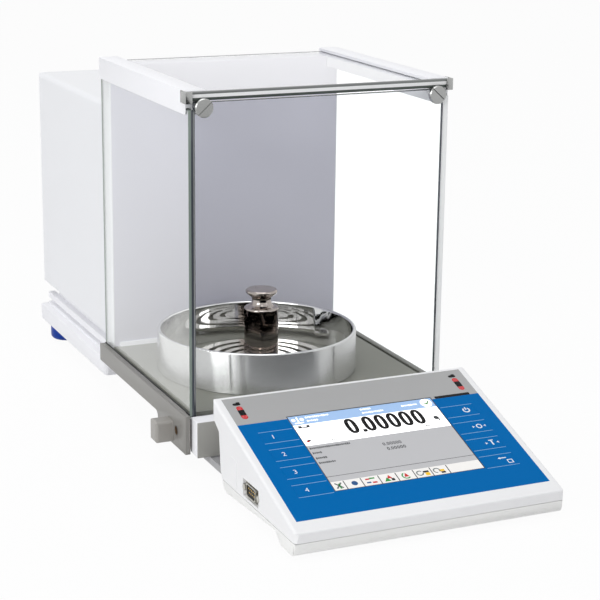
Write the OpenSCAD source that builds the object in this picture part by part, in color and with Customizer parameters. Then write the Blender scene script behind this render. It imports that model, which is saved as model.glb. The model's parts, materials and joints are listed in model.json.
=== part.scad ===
// Mass comparator: a glass weighing chamber with sliding doors in front of a
// closed housing, and a sloped operating terminal carried by a bracket.
// X is to the right, Y to the rear, Z up; the table is Z = 0.
// Sizes along Y are counted from the outer face of the front glass.

/* [Weighing chamber] */
// Width of the front glass pane
pane_w = 203; // [196:1:230]
// Height of the front glass pane above the chamber floor
pane_h = 235; // [200:1:280]
// Clear depth from the front pane to the back wall
chamber_d = 184; // [176:1:220]
// Thickness of the glass panes
glass_t = 4; // [3:0.5:5]
// Height of the chamber floor above the table
floor_z = 43; // [42:0.5:50]
// Thickness of the floor plate
floor_t = 3; // [2:0.5:4]
// Height of the tray that carries the floor plate
tray_h = 12; // [11:0.5:14]

/* [Draft shield frame] */
// Width of each top rail
rail_w = 16.2; // [15.4:0.2:18]
// Height of each top rail
rail_h = 17.5; // [16.5:0.5:20]
// Height of the steel bar above the front pane
bar_h = 6.5; // [5:0.5:7.5]
// Thickness of the steel bar
bar_t = 4; // [3:0.5:5]
// Diameter of the coin-slot clamp screws
clamp_d = 14; // [11:0.5:15]
// Depth of the front sill
sill_d = 14; // [10:0.5:20]

/* [Side doors] */
// Gap between the front pane's edge and a door's glass
door_gap = 0.5; // [0.3:0.1:1]
// Thickness of the carrier strip outside the glass
strip_t = 4.7; // [4:0.1:6]
// Length of the deep plate at the front of a carrier
plate_l = 62; // [55:1:80]
// Height of that plate
plate_h = 30; // [24:1:30]
// Travel of a side door to the rear
door_travel = 140; // [120:1:165]
// Reach of a handle from its plate
handle_reach = 14; // [10:0.5:18]
// Length of a handle along the door
handle_l = 14; // [10:0.5:20]
// Height of a handle
handle_h = 17; // [12:0.5:18]

/* [Housing and base] */
// Depth of the back wall frame
wall_d = 20; // [14:1:26]
// Depth of the housing behind the back wall
housing_d = 204; // [204:1:240]
// Height of the housing
housing_h = 199; // [170:1:220]
// Wall thickness of the housing
shell_t = 3; // [2.5:0.25:4]
// Thickness of the base casting
base_t = 14; // [12:0.5:16]
// Half width of the base casting under the chamber
tongue_x = 72; // [64:1:85]
// Diameter of the levelling feet
foot_d = 30; // [22:1:32]
// Diameter of the levelling screws
foot_screw_d = 8; // [6:0.5:10]

/* [Pan and draft ring] */
// Outer diameter of the draft ring
ring_d = 159; // [140:1:164]
// Height of the draft ring
ring_h = 33; // [20:1:40]
// Wall thickness of the draft ring
ring_t = 3; // [1.5:0.25:4]
// Diameter of the weighing pan
pan_d = 112; // [104:1:124]
// Thickness of the weighing pan
pan_t = 2.5; // [2:0.25:4]
// Height of the pan's top above the chamber floor
pan_rise = 6; // [5:0.5:14]
// Width of the pan's arc slots
slot_w = 4.5; // [2:0.5:5]
// Diameter of the stem that carries the pan
stem_d = 8; // [6:0.5:10]
// Sideways place of the pan from the chamber's middle
pan_x = -8; // [-8:1:8]
// Sideways shift of the loose draft ring from the pan
ring_shift = -2.4; // [-3:0.2:3]

/* [Reference weight] */
// Diameter of the weight's body
weight_d = 28; // [24:0.5:32]
// Height of the weight's body below its neck
weight_body_h = 43.5; // [28:0.5:50]
// Diameter of the lifting knob
knob_d = 26; // [22:0.5:28]
// Diameter of the neck under the knob
neck_d = 15.5; // [10:0.5:17]

/* [Terminal] */
// Width of the terminal
term_w = 208; // [204:1:230]
// Depth of the terminal
term_d = 151; // [149:0.5:165]
// Height of the terminal's rear edge above the table
term_top = 68.4; // [66:0.2:74]
// Slope of the terminal's panel in degrees
tilt = 17.6; // [16:0.1:18]
// Distance from the front glass to the terminal
term_gap = 40; // [36:1:60]
// Wall thickness of the terminal's covers
term_wall = 2.5; // [2:0.25:3]
// Height of the joint between the terminal's covers
seam_z = 13; // [13:0.25:15]
// Width of the display window
lcd_w = 118.2; // [110:0.2:122]
// Height of the display window along the slope
lcd_h = 88.6; // [80:0.2:90]
// Width of a key
key_w = 25; // [18:0.5:26]
// Height of a key along the slope
key_h = 12; // [8:0.5:14]
// Distance between keys along the slope
key_pitch = 20.6; // [16:0.2:21]
// Travel of a key
key_travel = 0.4; // [0.2:0.1:0.5]

/* [Hidden] */
$fn = 64;
eps = 0.01;
// Gap between parts that slide past each other
slide_gap = 0.3;
// Radial clearance of a turning fit
turn_fit = 0.05;
// Radial clearance of a fixed fit
fixed_fit = 0.025;

// Half widths, from the pane outwards
pane_x = pane_w / 2;
door_in = pane_x + door_gap;
door_out = door_in + glass_t;
shell_x = door_in - 1;
seal_t = 0.8;
strip_in = door_out + seal_t;
carrier_x = strip_in + strip_t;
rail_lip = 1.2;
rail_out = door_out + rail_lip;
rail_in = rail_out - rail_w;
track_w = 6;
track_in = shell_x - track_w;

// Heights above the table
floor_under = floor_z - floor_t;
tray_z = floor_under - tray_h;
base_z = tray_z - base_t;
sill_z = base_z - 1.5;
sill_top = floor_z - 2;
pane_z = sill_top - 2;
pane_top = floor_z + pane_h;
top_glass_z = pane_top + 1;
rail_top = pane_top + 8;
rail_z = rail_top - rail_h;
door_groove_d = 5;
door_z = tray_z + 6.5;
door_top = rail_z + door_groove_d - 1;
bar_z = pane_top + 1;
housing_z = floor_z + 5;
housing_top = housing_z + housing_h;

// Places along Y
wall_y = glass_t + chamber_d;
housing_y = wall_y + wall_d;
rear_y = housing_y + housing_d;
sill_y = -sill_d;
door_front = 0.5;
door_rear = housing_y - 4;
sill_show = 9;
carrier_y = sill_show - sill_d;
flange_y = carrier_y + plate_l + door_travel + 3;
base_rear = rear_y - 12;
plinth_rear = rear_y - 27;
pan_y = glass_t + chamber_d / 2;
term_y = -term_gap;
panel_t = 1;
panel_edge = 0.4;

// The part's origin is in the middle of its depth
front_y = term_y - term_d;
y_mid = (front_y + rear_y) / 2;

// Terminal panel
overlay_t = 0.5;
overlay_depth = 0.6;
overlay_margin = 5.7;
overlay_x = term_w / 2 - overlay_margin;
overlay_v0 = 4;
lcd_v0 = overlay_v0 + 29.4;
overlay_v1 = lcd_v0 + lcd_h + 24.4;
key_v0 = lcd_v0 + 21;
key_u = lcd_w / 2 + 2 + key_w / 2;
key_stem_d = 5;
key_cap_t = 0.8;
key_stem_l = 8.4;
board_n = -12.4;
sensor_l = 16;
sensor_w = 5;
sensor_u = overlay_x - 9.5;
sensor_v = overlay_v0 + 18;
port_y = term_y - 74;
port_z = seam_z + 8.5;

// Weighing cell, inside the housing
arm_w = 22;
arm_t = 5;
arm_z = tray_z + 4.5;
arm_slot_x = arm_w / 2 + 4;
stem_hole_d = stem_d + 10;
well_x = 45;
well_y = housing_y + 10;
well_z = tray_z - 6;
well_rear = plinth_rear - 10;
pot_d = 52;
coil_y = well_rear - pot_d / 2 - 4;
lever_arm = 70;
pivot_y = coil_y - lever_arm;
carriage_t = 12;
carriage_x = 32;
carriage_y = pivot_y - 23 - carriage_t;
carriage_rise = 4;
guide_t = 1.5;
guide_low = well_z + 18;
guide_high = well_z + 66;
guide_gap = 0.7;
frame_y = carriage_y + carriage_t + 4;
frame_t = 8;
pivot_z = well_z + 48;
pivot_d = 6;
coil_in = 25;
coil_out = 35;

// Base casting and feet
flange_x = shell_x + 7;
flange_r = 4;
plinth_r = 6;
pocket_wall = 10;
pocket_rib = 8;
pocket_y = 60;
foot_h = base_z - 0.5;
foot_round = 4;
foot_bore = 11;
feet = [[-tongue_x + 17, 35], [tongue_x - 17, 35],
    [17 - flange_x, base_rear - 29], [flange_x - 17, base_rear - 29]];
front_left = 0;
front_right = 1;
rear_left = 2;
rear_right = 3;

// Sill, tracks and walls
sill_bevel = 1.5;
arm_floor = 3;
collar_h = 2;
collar_w = 6;
track_wall = 2;
tongue_t = 3.4;
tongue_z = tray_z + 2.8;
tongue_in = track_in + track_wall + slide_gap;
track_front = 2;
track_end = 5;
wall_plate = 4;
wall_rib = 6;

// Draft shield frame
rail_rear = housing_y - 3;
top_groove = 4;
top_x = rail_in + top_groove - 0.5;
top_front = glass_t + 1;
top_rear = housing_y - 4;
clamp_x = rail_in + 4;
clamp_z = pane_top - 4;
clamp_t = 3.5;
clamp_slot_w = 2;
clamp_slot_d = 1.2;
clamp_slot_turn = 42;
clamp_shank_d = 4;
clamp_bore = 11;
bar_y = glass_t - bar_t;
clamp_y = min(0, bar_y) - slide_gap;
bracket_t = 1.5;
bracket_w = 4;
bracket_l = 6;
bracket_drop = 2;
bar_edge = 1;
clamp_edge = 0.6;

// Door carriers
carrier_z = tray_z + slide_gap;
plate_in = strip_in + 0.7;
plate_z = floor_z - plate_h;
plate_rear = carrier_y + plate_l;
step_r = 5;
handle_y = plate_rear - 35;
handle_z = plate_z + 1.5;
handle_r = 2.5;
screw_y = plate_rear - 41.5;
screw_z = plate_z + 13;
screw_d = 4;
screw_head_d = 7;
screw_head_t = 1.5;
screw_l = 7;

// Housing
housing_r = shell_t + 1.5;
tray_x = 52;
tray_low = housing_z + 18;
tray_high = tray_low + 34;
tray_d = 11;
tray_wall = 2;
socket_d = 12;
pin_hole_d = 6;
plug_reach = 6;
port_w = 18;
port_h = 9.5;
port_rim = 0.7;
board_t = 1.6;
board_x = 75;
board_low = housing_z + 11;
board_h = 110;
board_high = board_low + board_h;
board_y = rear_y - 20;
board_edge = 8;
standoff_d = 6;

// Pan
pan_z = floor_z + pan_rise - pan_t;
slot_rings = 3;
slot_r = 27;
slot_step = 10;
web_w = 6;
hub_d = stem_d + 8;
hub_h = 3;
// A turned centring line between the weight's place and the slots
centring_w = 0.6;
centring_depth = 0.3;
centring_r = slot_r - slot_w / 2 - 2.6;
stem_flange_t = 1.5;

// Weighing cell details
guide_w = 10;
guide_l = 34;
guide_side = 2;
frame_x = 40;
frame_rear = coil_y + pot_d / 2 + 1;
beam_y = frame_y + 22;
beam_d = 28;
beam_low = 6;
beam_high = 7;
side_front = 14;
side_rise = 10;
ear_in = 9;
ear_t = 5;
ear_y = 7;
ear_rise = 8;
lever_x = 5;
lever_h = 8;
lever_front = pivot_y - 17;
lever_hole_d = 4.5;
lever_hole_step = 14;
lever_hole_end = 20;
lever_tail = 8;
hook_y = pivot_y - 10;
hook_gap = 0.4;
hook_t = 4.6;
coil_h = 16;
coil_cap = 3;
coil_gap = 2;
pot_h = 32;
pot_floor = 6;
pole_drop = 6;

// Weight details
weight_edge = 1.5;
foot_recess = 0.8;
foot_ring = 4;
neck_r = 6;
knob_rise = 6.9;
knob_edge = 1.8;

// Terminal shell
heel_z = 3;
heel_l = 24;
belly_z = 10.4;
term_low = 4.5;
back_lean = 17.5;
band_h = 13;
term_corner = 4;
term_edge = 2;
seam_gap = 0.4;
post_d = 7;
post_u = overlay_x - 10.3;
post_v = [lcd_v0 - 1, lcd_v0 + lcd_h + 2];
term_board_u = overlay_x - 6.3;
lcd_edge = 6;
lcd_t = 8;
lcd_drop = 0.3;
key_top = overlay_t - overlay_depth;
key_base = key_top - key_cap_t;
key_pocket = key_travel + slide_gap - key_base;
key_stem_end = key_base - key_stem_l;
switch_w = 6;
keys_each = 4;
arm_plate_x = 95;
arm_plate_z = 6.5;
arm_plate_t = 5.5;
arm_plate_w = 30;
arm_plate_in = 16;
pad_d = 12;
pad_inset_y = 22;
pad_inset_x = 20;
pad_front = front_y + pad_inset_y;
pad_x = term_w / 2 - pad_inset_x;
port_win_l = 28;
port_win_h = 13;
port_flange = [30.8, 12.4];
port_flange_t = 1.2;
jack_d = 4.8;
jack_x = 12.5;

// A box between two opposite corners
module block(low, high) {
    translate(low) cube(high - low);
}

// A rectangle with round corners, between two opposite corners
module round_rect(low, high, r) {
    translate([low.x + r, low.y]) square([high.x - low.x - 2 * r, high.y - low.y]);
    translate([low.x, low.y + r]) square([high.x - low.x, high.y - low.y - 2 * r]);
    for (x = [low.x + r, high.x - r])
        for (y = [low.y + r, high.y - r])
            translate([x, y]) circle(r);
}

// Extrudes a Y-Z outline along X
module along_x(x0, x1) {
    translate([x0, 0, 0]) rotate([90, 0, 90]) linear_extrude(x1 - x0) children();
}

// Extrudes an X-Z outline along Y
module along_y(y0, y1) {
    translate([0, y1, 0]) rotate([90, 0, 0]) linear_extrude(y1 - y0) children();
}

// Extrudes an X-Y outline along Z
module along_z(z0, z1) {
    translate([0, 0, z0]) linear_extrude(z1 - z0) children();
}

// Turns a form that stands on Z so that it runs to the rear, or to the right
module to_rear() {
    rotate([-90, 0, 0]) children();
}

module to_right() {
    rotate([0, 90, 0]) children();
}

// Puts the right-hand form on the left
module left_side() {
    mirror([1, 0, 0]) children();
}

module both_sides() {
    children();
    left_side() children();
}

// Moves the chamber's frame to the part's own origin
module place() {
    translate([0, -y_mid, 0]) children();
}

// The terminal's panel: u to the right, v down the slope, height along its normal
module on_panel(u = 0, v = 0) {
    translate([0, term_y, term_top]) rotate([tilt, 0, 0]) translate([u, -v, 0]) children();
}

// A box on the panel between two values each of u, v and height
module panel_block(u, v, n) {
    on_panel() block([u[0], -v[1], n[0]], [u[1], -v[0], n[1]]);
}

function unit(p) = p / norm(p);
function cross2(a, b) = a.x * b.y - a.y * b.x;

// An outline whose sides are all moved inwards by t
function inset(p, t) =
    let (n = len(p))
    [for (i = [0 : n - 1])
        let (b = p[i],
             d1 = unit(b - p[(i + n - 1) % n]),
             d2 = unit(p[(i + 1) % n] - b),
             q1 = b + t * [-d1.y, d1.x],
             q2 = b + t * [-d2.y, d2.x])
        q1 + d1 * cross2(q2 - q1, d2) / cross2(d1, d2)];

// Points of an arc about c from angle a0 to a1
function arc(c, r, a0, a1, steps = 6) =
    [for (k = [0 : steps])
        let (a = a0 + (a1 - a0) * k / steps)
        c + r * [cos(a), sin(a)]];

// An outline with each corner rounded to its own radius
function rounded(p, radii) =
    let (n = len(p))
    [for (i = [0 : n - 1])
        let (b = p[i],
             to_a = unit(p[(i + n - 1) % n] - b),
             to_c = unit(p[(i + 1) % n] - b),
             half = acos(to_a * to_c) / 2,
             centre = b + unit(to_a + to_c) * radii[i] / sin(half),
             start = b + to_a * radii[i] / tan(half) - centre,
             a0 = atan2(start.y, start.x),
             turn = (cross2(to_a, to_c) < 0 ? 1 : -1) * (180 - 2 * half))
        each arc(centre, radii[i], a0, a0 + turn)];

// Base, chamber floor and walls

module base_plate() color("whitesmoke") difference() {
    union() {
        along_z(base_z, tray_z)
            round_rect([-flange_x, flange_y], [flange_x, base_rear], flange_r);
        block([-tongue_x, glass_t, base_z], [tongue_x, flange_y + flange_r, tray_z]);
        along_z(tray_z - eps, housing_z)
            round_rect([-track_in, housing_y], [track_in, plinth_rear], plinth_r);
    }
    // Well of the weighing cell and the channel that leads its arm in
    block([-well_x, well_y, well_z], [well_x, well_rear, housing_z + 1]);
    block([pan_x - arm_slot_x, housing_y - 1, tray_z + arm_floor],
        [pan_x + arm_slot_x, well_y + 1, housing_z + 1]);
    for (p = feet)
        translate([p.x, p.y, base_z - 1])
            cylinder(d = foot_screw_d + 2 * turn_fit, h = foot_bore + 1);
    // Pockets that lighten the casting from below
    both_sides()
        block([pocket_rib, pocket_y, base_z - 1],
            [tongue_x - pocket_wall, flange_y - pocket_wall, base_z + base_t / 2]);
}

module foot(p) color("royalblue") translate([p.x, p.y, 0]) {
    rotate_extrude() polygon(concat([[0, 0]],
        arc([foot_d / 2 - foot_round, foot_round], foot_round, -90, 0),
        [[foot_d / 2, foot_h - 1], [foot_d / 2 - 1, foot_h], [0, foot_h]]));
    translate([0, 0, foot_h - eps]) cylinder(d = foot_screw_d, h = foot_bore);
}

module chamber_tray() color("gainsboro") difference() {
    block([-track_in, glass_t, tray_z], [track_in, housing_y, floor_under]);
    // Trough of the load arm
    block([pan_x - arm_slot_x, pan_y, tray_z + arm_floor],
        [pan_x + arm_slot_x, housing_y + 1, floor_z]);
    translate([pan_x, pan_y, tray_z + arm_floor]) cylinder(r = arm_slot_x, h = floor_z);
}

module chamber_floor() color("darkgray") difference() {
    union() {
        block([-shell_x, glass_t, floor_under], [shell_x, wall_y, floor_z]);
        // Raised lip round the stem, against spilt liquid
        translate([pan_x, pan_y, floor_z - eps])
            cylinder(d = stem_hole_d + 2 * collar_w, h = collar_h);
    }
    translate([pan_x, pan_y, floor_under - 1])
        cylinder(d = stem_hole_d, h = floor_t + collar_h + 2);
}

module front_sill() color("white") {
    along_y(sill_y, 0) polygon([
        [-door_out, sill_top], [-door_out, sill_z + sill_bevel],
        [sill_bevel - door_out, sill_z], [door_out - sill_bevel, sill_z],
        [door_out, sill_z + sill_bevel], [door_out, sill_top]]);
    // Ledge that the front pane stands on
    block([sill_bevel - pane_x, -eps, sill_z], [pane_x - sill_bevel, glass_t, pane_z]);
}

module front_panel() color("darkgray")
    block([panel_edge - door_out, sill_y - panel_t, sill_z + panel_edge],
        [door_out - panel_edge, sill_y, sill_top - panel_edge]);

module door_tracks() color("white") both_sides() difference() {
    block([track_in, glass_t + track_front, tray_z], [shell_x, base_rear - track_end, floor_under]);
    block([track_in + track_wall, 0, tongue_z - slide_gap],
        [shell_x + 1, base_rear, tongue_z + tongue_t + slide_gap]);
}

module back_wall() color("lavender") difference() {
    union() {
        block([-shell_x, wall_y, floor_under], [shell_x, housing_y, rail_z]);
        block([-rail_in, wall_y, rail_z - eps], [rail_in, housing_y, pane_top]);
    }
    block([wall_rib - rail_in, wall_y + wall_plate, floor_z + wall_rib],
        [rail_in - wall_rib, housing_y + 1, pane_top - wall_rib]);
}

// Draft shield

module top_rails() color("white") both_sides() difference() {
    block([rail_in, glass_t, rail_z], [rail_out, rail_rear, rail_top]);
    // Groove for the door below, and for the top glass inside
    block([door_in - slide_gap, 0, rail_z - 1],
        [door_out + slide_gap, housing_y, rail_z + door_groove_d]);
    block([rail_in - 1, 0, top_glass_z - slide_gap],
        [rail_in + top_groove, housing_y, top_glass_z + glass_t + slide_gap]);
    translate([clamp_x, 0, clamp_z]) to_rear()
        cylinder(d = clamp_shank_d + 2 * turn_fit, h = glass_t + clamp_bore);
}

module top_bar() color("silver")
    along_y(bar_y, glass_t) round_rect([-rail_out, bar_z], [rail_out, bar_z + bar_h], bar_edge);

module bar_brackets() color("lightgray") both_sides() {
    block([rail_out, bar_y - bracket_t, bar_z - bracket_drop],
        [rail_out + bracket_t, glass_t + bracket_l, rail_top]);
    block([rail_out - bracket_w, bar_y - bracket_t, bar_z - bracket_drop],
        [rail_out + eps, bar_y, rail_top]);
}

module front_glass() color("lightblue", 0.4) difference() {
    block([-pane_x, 0, pane_z], [pane_x, glass_t, pane_top]);
    both_sides() translate([clamp_x, -1, clamp_z]) to_rear()
        cylinder(d = clamp_shank_d + 2, h = glass_t + 2);
}

module clamp_screw() color("silver") translate([clamp_x, clamp_y, clamp_z]) to_rear() {
    difference() {
        translate([0, 0, -clamp_t]) rotate_extrude() polygon([
            [0, 0], [clamp_d / 2 - clamp_edge, 0], [clamp_d / 2, clamp_edge],
            [clamp_d / 2, clamp_t - clamp_edge], [clamp_d / 2 - clamp_edge, clamp_t],
            [0, clamp_t]]);
        rotate([0, 0, clamp_slot_turn])
            block([-clamp_d, -clamp_slot_w / 2, -clamp_t - 1],
                [clamp_d, clamp_slot_w / 2, clamp_slot_d - clamp_t]);
    }
    translate([0, 0, -eps]) cylinder(d = clamp_shank_d, h = glass_t + clamp_bore - 1);
}

module top_glass() color("lightblue", 0.4)
    block([-top_x, top_front, top_glass_z], [top_x, top_rear, top_glass_z + glass_t]);

// Side doors, drawn on the right

module door_glass() color("lightblue", 0.4)
    block([door_in, door_front, door_z], [door_out, door_rear, door_top]);

module door_seal() color("black")
    block([door_out, door_front, door_z], [strip_in, door_rear - 1, floor_z + 0.3]);

module door_carrier() color("darkgray") difference() {
    union() {
        // Tongue in the track, foot under the glass and strip outside it
        along_y(glass_t + track_front, door_rear - 1) polygon([
            [tongue_in, tongue_z], [door_in, tongue_z], [door_in, carrier_z],
            [carrier_x, carrier_z], [carrier_x, floor_z], [strip_in, floor_z],
            [strip_in, door_z], [door_in, door_z], [door_in, tongue_z + tongue_t],
            [tongue_in, tongue_z + tongue_t]]);
        // Deep plate at the front, blended into the strip by a round inner corner
        along_x(plate_in, carrier_x) difference() {
            translate([carrier_y, plate_z]) square([plate_l + step_r, plate_h]);
            translate([plate_rear + step_r, carrier_z - step_r]) circle(step_r);
            translate([plate_rear, plate_z - 1])
                square([step_r + 1, carrier_z - step_r - plate_z + 1]);
        }
        block([door_in + 1, glass_t + track_front, plate_z],
            [carrier_x - 1, plate_rear, door_z - eps]);
    }
    translate([carrier_x, screw_y, screw_z]) to_right() door_screw_form(fixed_fit, eps);
}

module door_screw_form(clearance, above) {
    translate([0, 0, -screw_l]) cylinder(r = screw_d / 2 + clearance, h = screw_l);
    translate([0, 0, -screw_head_t])
        cylinder(r1 = screw_d / 2 + clearance, r2 = screw_head_d / 2 + clearance, h = screw_head_t);
    translate([0, 0, -eps]) cylinder(r = screw_head_d / 2 + clearance, h = above + eps);
}

module door_screw() color("peru") translate([carrier_x, screw_y, screw_z]) to_right()
    difference() {
        door_screw_form(0, 0);
        translate([-screw_head_d, -0.5, -0.8]) cube([2 * screw_head_d, 1, 2]);
    }

module door_handle() color("gray") intersection() {
    x1 = carrier_x + handle_reach;
    y1 = handle_y + handle_l;
    z1 = handle_z + handle_h;
    inner = carrier_x - handle_r;
    along_x(carrier_x, x1) round_rect([handle_y, handle_z], [y1, z1], handle_r);
    along_z(handle_z, z1) round_rect([inner, handle_y], [x1, y1], handle_r);
    along_y(handle_y, y1) round_rect([inner, handle_z], [x1, z1], handle_r);
}

// Housing

// Block of the housing with round rear and upper edges, moved inwards by t
module housing_form(t) {
    x = shell_x - t;
    r = housing_r - t;
    low = housing_z + t;
    top = housing_top - t;
    front = housing_y - eps;
    rear = rear_y - t;
    intersection() {
        along_z(low, top) round_rect([-x, front - r], [x, rear], r);
        along_y(front, rear) round_rect([-x, low - 2 * r], [x, top], r);
        along_x(-x, x) round_rect([front - r, low - 2 * r], [rear, top], r);
    }
}

module housing_cover() color("whitesmoke") difference() {
    intersection() {
        housing_form(0);
        block([-shell_x, housing_y, 0], [shell_x, rear_y, housing_top]);
    }
    housing_form(shell_t);
    // Opening over the well, and for the connector tray
    block([-well_x, housing_y - 1, housing_z - 1], [well_x, well_rear, housing_z + shell_t + 1]);
    block([-tray_x, rear_y - shell_t - 1, tray_low], [tray_x, rear_y + 1, tray_high]);
}

module rear_port_tray() color("dimgray") difference() {
    block([-tray_x, rear_y - tray_d, tray_low], [tray_x, rear_y, tray_high]);
    block([tray_wall - tray_x, rear_y - tray_d + tray_wall, tray_low + tray_wall],
        [tray_x - tray_wall, rear_y + 1, tray_high - tray_wall]);
}

// The outline of a D-shaped connector, centred
module d_outline(w, h)
    polygon(rounded([[-w / 2, h / 2], [1.6 - w / 2, -h / 2], [w / 2 - 1.6, -h / 2],
        [w / 2, h / 2]], [1.8, 1.8, 1.8, 1.8]));

module rear_ports() color("black")
    translate([0, rear_y - tray_d + tray_wall, (tray_low + tray_high) / 2]) to_rear() {
        // Socket for the power lead
        translate([-0.7 * tray_x, 0, 0]) difference() {
            cylinder(d = socket_d, h = plug_reach);
            translate([0, 0, 1]) cylinder(d = pin_hole_d, h = plug_reach);
        }
        for (x = [-0.2, 0.5])
            translate([x * tray_x, 0, 0]) difference() {
                linear_extrude(plug_reach) d_outline(port_w, port_h);
                translate([0, 0, tray_wall])
                    linear_extrude(plug_reach) d_outline(port_w - 2 * port_rim, port_h - 2 * port_rim);
            }
    }

module main_board() color("seagreen") {
    along_y(board_y, board_y + board_t) round_rect([-board_x, board_low], [board_x, board_high], 3);
    both_sides()
        for (z = [board_low + board_edge, board_high - board_edge])
            translate([board_x - board_edge, board_y + board_t - eps, z]) to_rear()
                cylinder(d = standoff_d, h = rear_y - shell_t - board_y - board_t + eps);
}

// Draft ring, pan and weight

module draft_ring() color("silver") translate([pan_x + ring_shift, pan_y, floor_z + slide_gap])
    rotate_extrude($fn = 96) {
        translate([ring_d / 2 - ring_t, 0]) square([ring_t, ring_h - ring_t / 2]);
        translate([(ring_d - ring_t) / 2, ring_h - ring_t / 2]) circle(ring_t / 2, $fn = 24);
    }

module weighing_pan() color("silver") translate([pan_x, pan_y, pan_z]) difference() {
    union() {
        linear_extrude(pan_t) difference() {
            circle(d = pan_d);
            // Rings of arc slots, each turned a little against the last
            for (k = [0 : slot_rings - 1])
                difference() {
                    circle(slot_r + k * slot_step + slot_w / 2);
                    circle(slot_r + k * slot_step - slot_w / 2);
                    for (a = [45, 135])
                        rotate(a + k * 20) square([pan_d, web_w], center = true);
                }
        }
        translate([0, 0, -hub_h]) cylinder(d = hub_d, h = hub_h + eps);
    }
    translate([0, 0, -hub_h - 1]) cylinder(d = stem_d + 2 * fixed_fit, h = hub_h + 1);
    along_z(pan_t - centring_depth, pan_t + 1) difference() {
        circle(centring_r + centring_w / 2);
        circle(centring_r - centring_w / 2);
    }
}

module pan_stem() color("gray") translate([pan_x, pan_y, arm_z]) {
    cylinder(d = stem_d, h = pan_z - arm_z);
    translate([0, 0, arm_t]) cylinder(d = stem_d + 4, h = stem_flange_t);
}

// A turned weight with a lifting knob above a narrow neck
module reference_weight() color("silver")
    translate([pan_x, pan_y, pan_z + pan_t + slide_gap]) rotate_extrude() {
        body_r = weight_d / 2;
        knob_r = knob_d / 2 - knob_edge;
        throat = [neck_d / 2 + neck_r, weight_body_h + neck_r];
        knob_z = throat.y + knob_rise;
        polygon(concat(
            [[0, foot_recess], [body_r - foot_ring, foot_recess],
             [body_r - foot_ring + foot_recess, 0], [body_r - 1, 0], [body_r, 1]],
            arc([body_r - weight_edge, weight_body_h - weight_edge], weight_edge, 0, 90),
            arc(throat, neck_r, -105, -200),
            arc([knob_r, knob_z], knob_edge, -60, 90),
            [[0, knob_z + knob_edge]]));
    }

// Weighing cell

module load_arm() color("lightsteelblue") {
    difference() {
        union() {
            block([pan_x - arm_w / 2, pan_y, arm_z],
                [pan_x + arm_w / 2, carriage_y + eps, arm_z + arm_t]);
            translate([pan_x, pan_y, arm_z]) cylinder(d = arm_w, h = arm_t);
        }
        translate([pan_x, pan_y, arm_z - 1]) cylinder(d = stem_d + 2 * fixed_fit, h = arm_t + 2);
    }
    // Carriage with its upper and lower guide strips
    block([-carriage_x, carriage_y, arm_z],
        [carriage_x, carriage_y + carriage_t, guide_high + carriage_rise]);
    for (z = [guide_low, guide_high])
        both_sides() block([carriage_x - guide_side - guide_w, carriage_y + carriage_t - eps, z],
            [carriage_x - guide_side, frame_y + guide_l, z + guide_t]);
    // Hook over the short end of the lever
    block([-lever_x, carriage_y + carriage_t - eps, pivot_z + lever_h / 2 + hook_gap],
        [lever_x, hook_y, pivot_z + lever_h / 2 + hook_gap + hook_t]);
}

module cell_frame() color("slategray") difference() {
    union() {
        block([-frame_x, frame_y, well_z], [frame_x, frame_rear, well_z + frame_t]);
        both_sides() {
            block([frame_x - frame_t, beam_y - side_front, well_z],
                [frame_x, beam_y + beam_d, guide_high + side_rise]);
            // Ear that holds the lever's pivot
            block([ear_in, pivot_y - ear_y, well_z + frame_t - eps],
                [ear_in + ear_t, pivot_y + ear_y, pivot_z + ear_rise]);
        }
        for (z = [guide_low, guide_high])
            block([-frame_x, beam_y, z - beam_low], [frame_x, beam_y + beam_d, z + beam_high]);
    }
    for (z = [guide_low, guide_high])
        block([-carriage_x, beam_y - 1, z - guide_gap],
            [carriage_x, frame_y + guide_l + 1, z + guide_t + guide_gap]);
    translate([-ear_in - ear_t - 1, pivot_y, pivot_z]) to_right()
        cylinder(d = pivot_d + 2 * turn_fit, h = 2 * (ear_in + ear_t + 1));
}

module balance_lever() color("lightsteelblue") {
    difference() {
        block([-lever_x, lever_front, pivot_z - lever_h / 2],
            [lever_x, coil_y + lever_tail, pivot_z + lever_h / 2]);
        for (y = [pivot_y + lever_hole_step : lever_hole_step : coil_y - lever_hole_end])
            translate([-lever_x - 1, y, pivot_z]) to_right()
                cylinder(d = lever_hole_d, h = 2 * lever_x + 2);
    }
    both_sides() translate([lever_x - eps, pivot_y, pivot_z]) to_right()
        cylinder(d = pivot_d, h = ear_in + ear_t - lever_x - 0.5);
}

module lever_coil() color("peru")
    translate([0, coil_y, pivot_z - lever_h / 2 - coil_h]) difference() {
        cylinder(d = coil_out, h = coil_h);
        translate([0, 0, -1]) cylinder(d = coil_in, h = coil_h - coil_cap + 1);
    }

module magnet_pot() color("dimgray") translate([0, coil_y, well_z + frame_t]) {
    difference() {
        cylinder(d = pot_d, h = pot_h);
        translate([0, 0, pot_floor]) cylinder(d = coil_out + 2 * coil_gap, h = pot_h);
    }
    translate([0, 0, pot_floor - eps])
        cylinder(d = coil_in - 2 * coil_gap, h = pot_h - pot_floor - pole_drop);
}

// Terminal

// Side outline, from the rear top edge over the panel and back along the bottom
term_outline = [
    [term_y, term_top],
    [front_y, term_top - term_d * tan(tilt)],
    [front_y + 1, seam_z],
    [front_y + 4, heel_z],
    [front_y + heel_l, heel_z],
    [front_y + heel_l + 10.5, belly_z],
    [term_y - back_lean - 7, term_low],
    [term_y - back_lean, term_low + 14],
    [term_y - back_lean + 3.5, term_top - band_h - 8.5],
    [term_y, term_top - band_h]];
term_radii = [2, 1.5, 1, 3, 2, 4, 8, 4, 3, 1.5];

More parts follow.
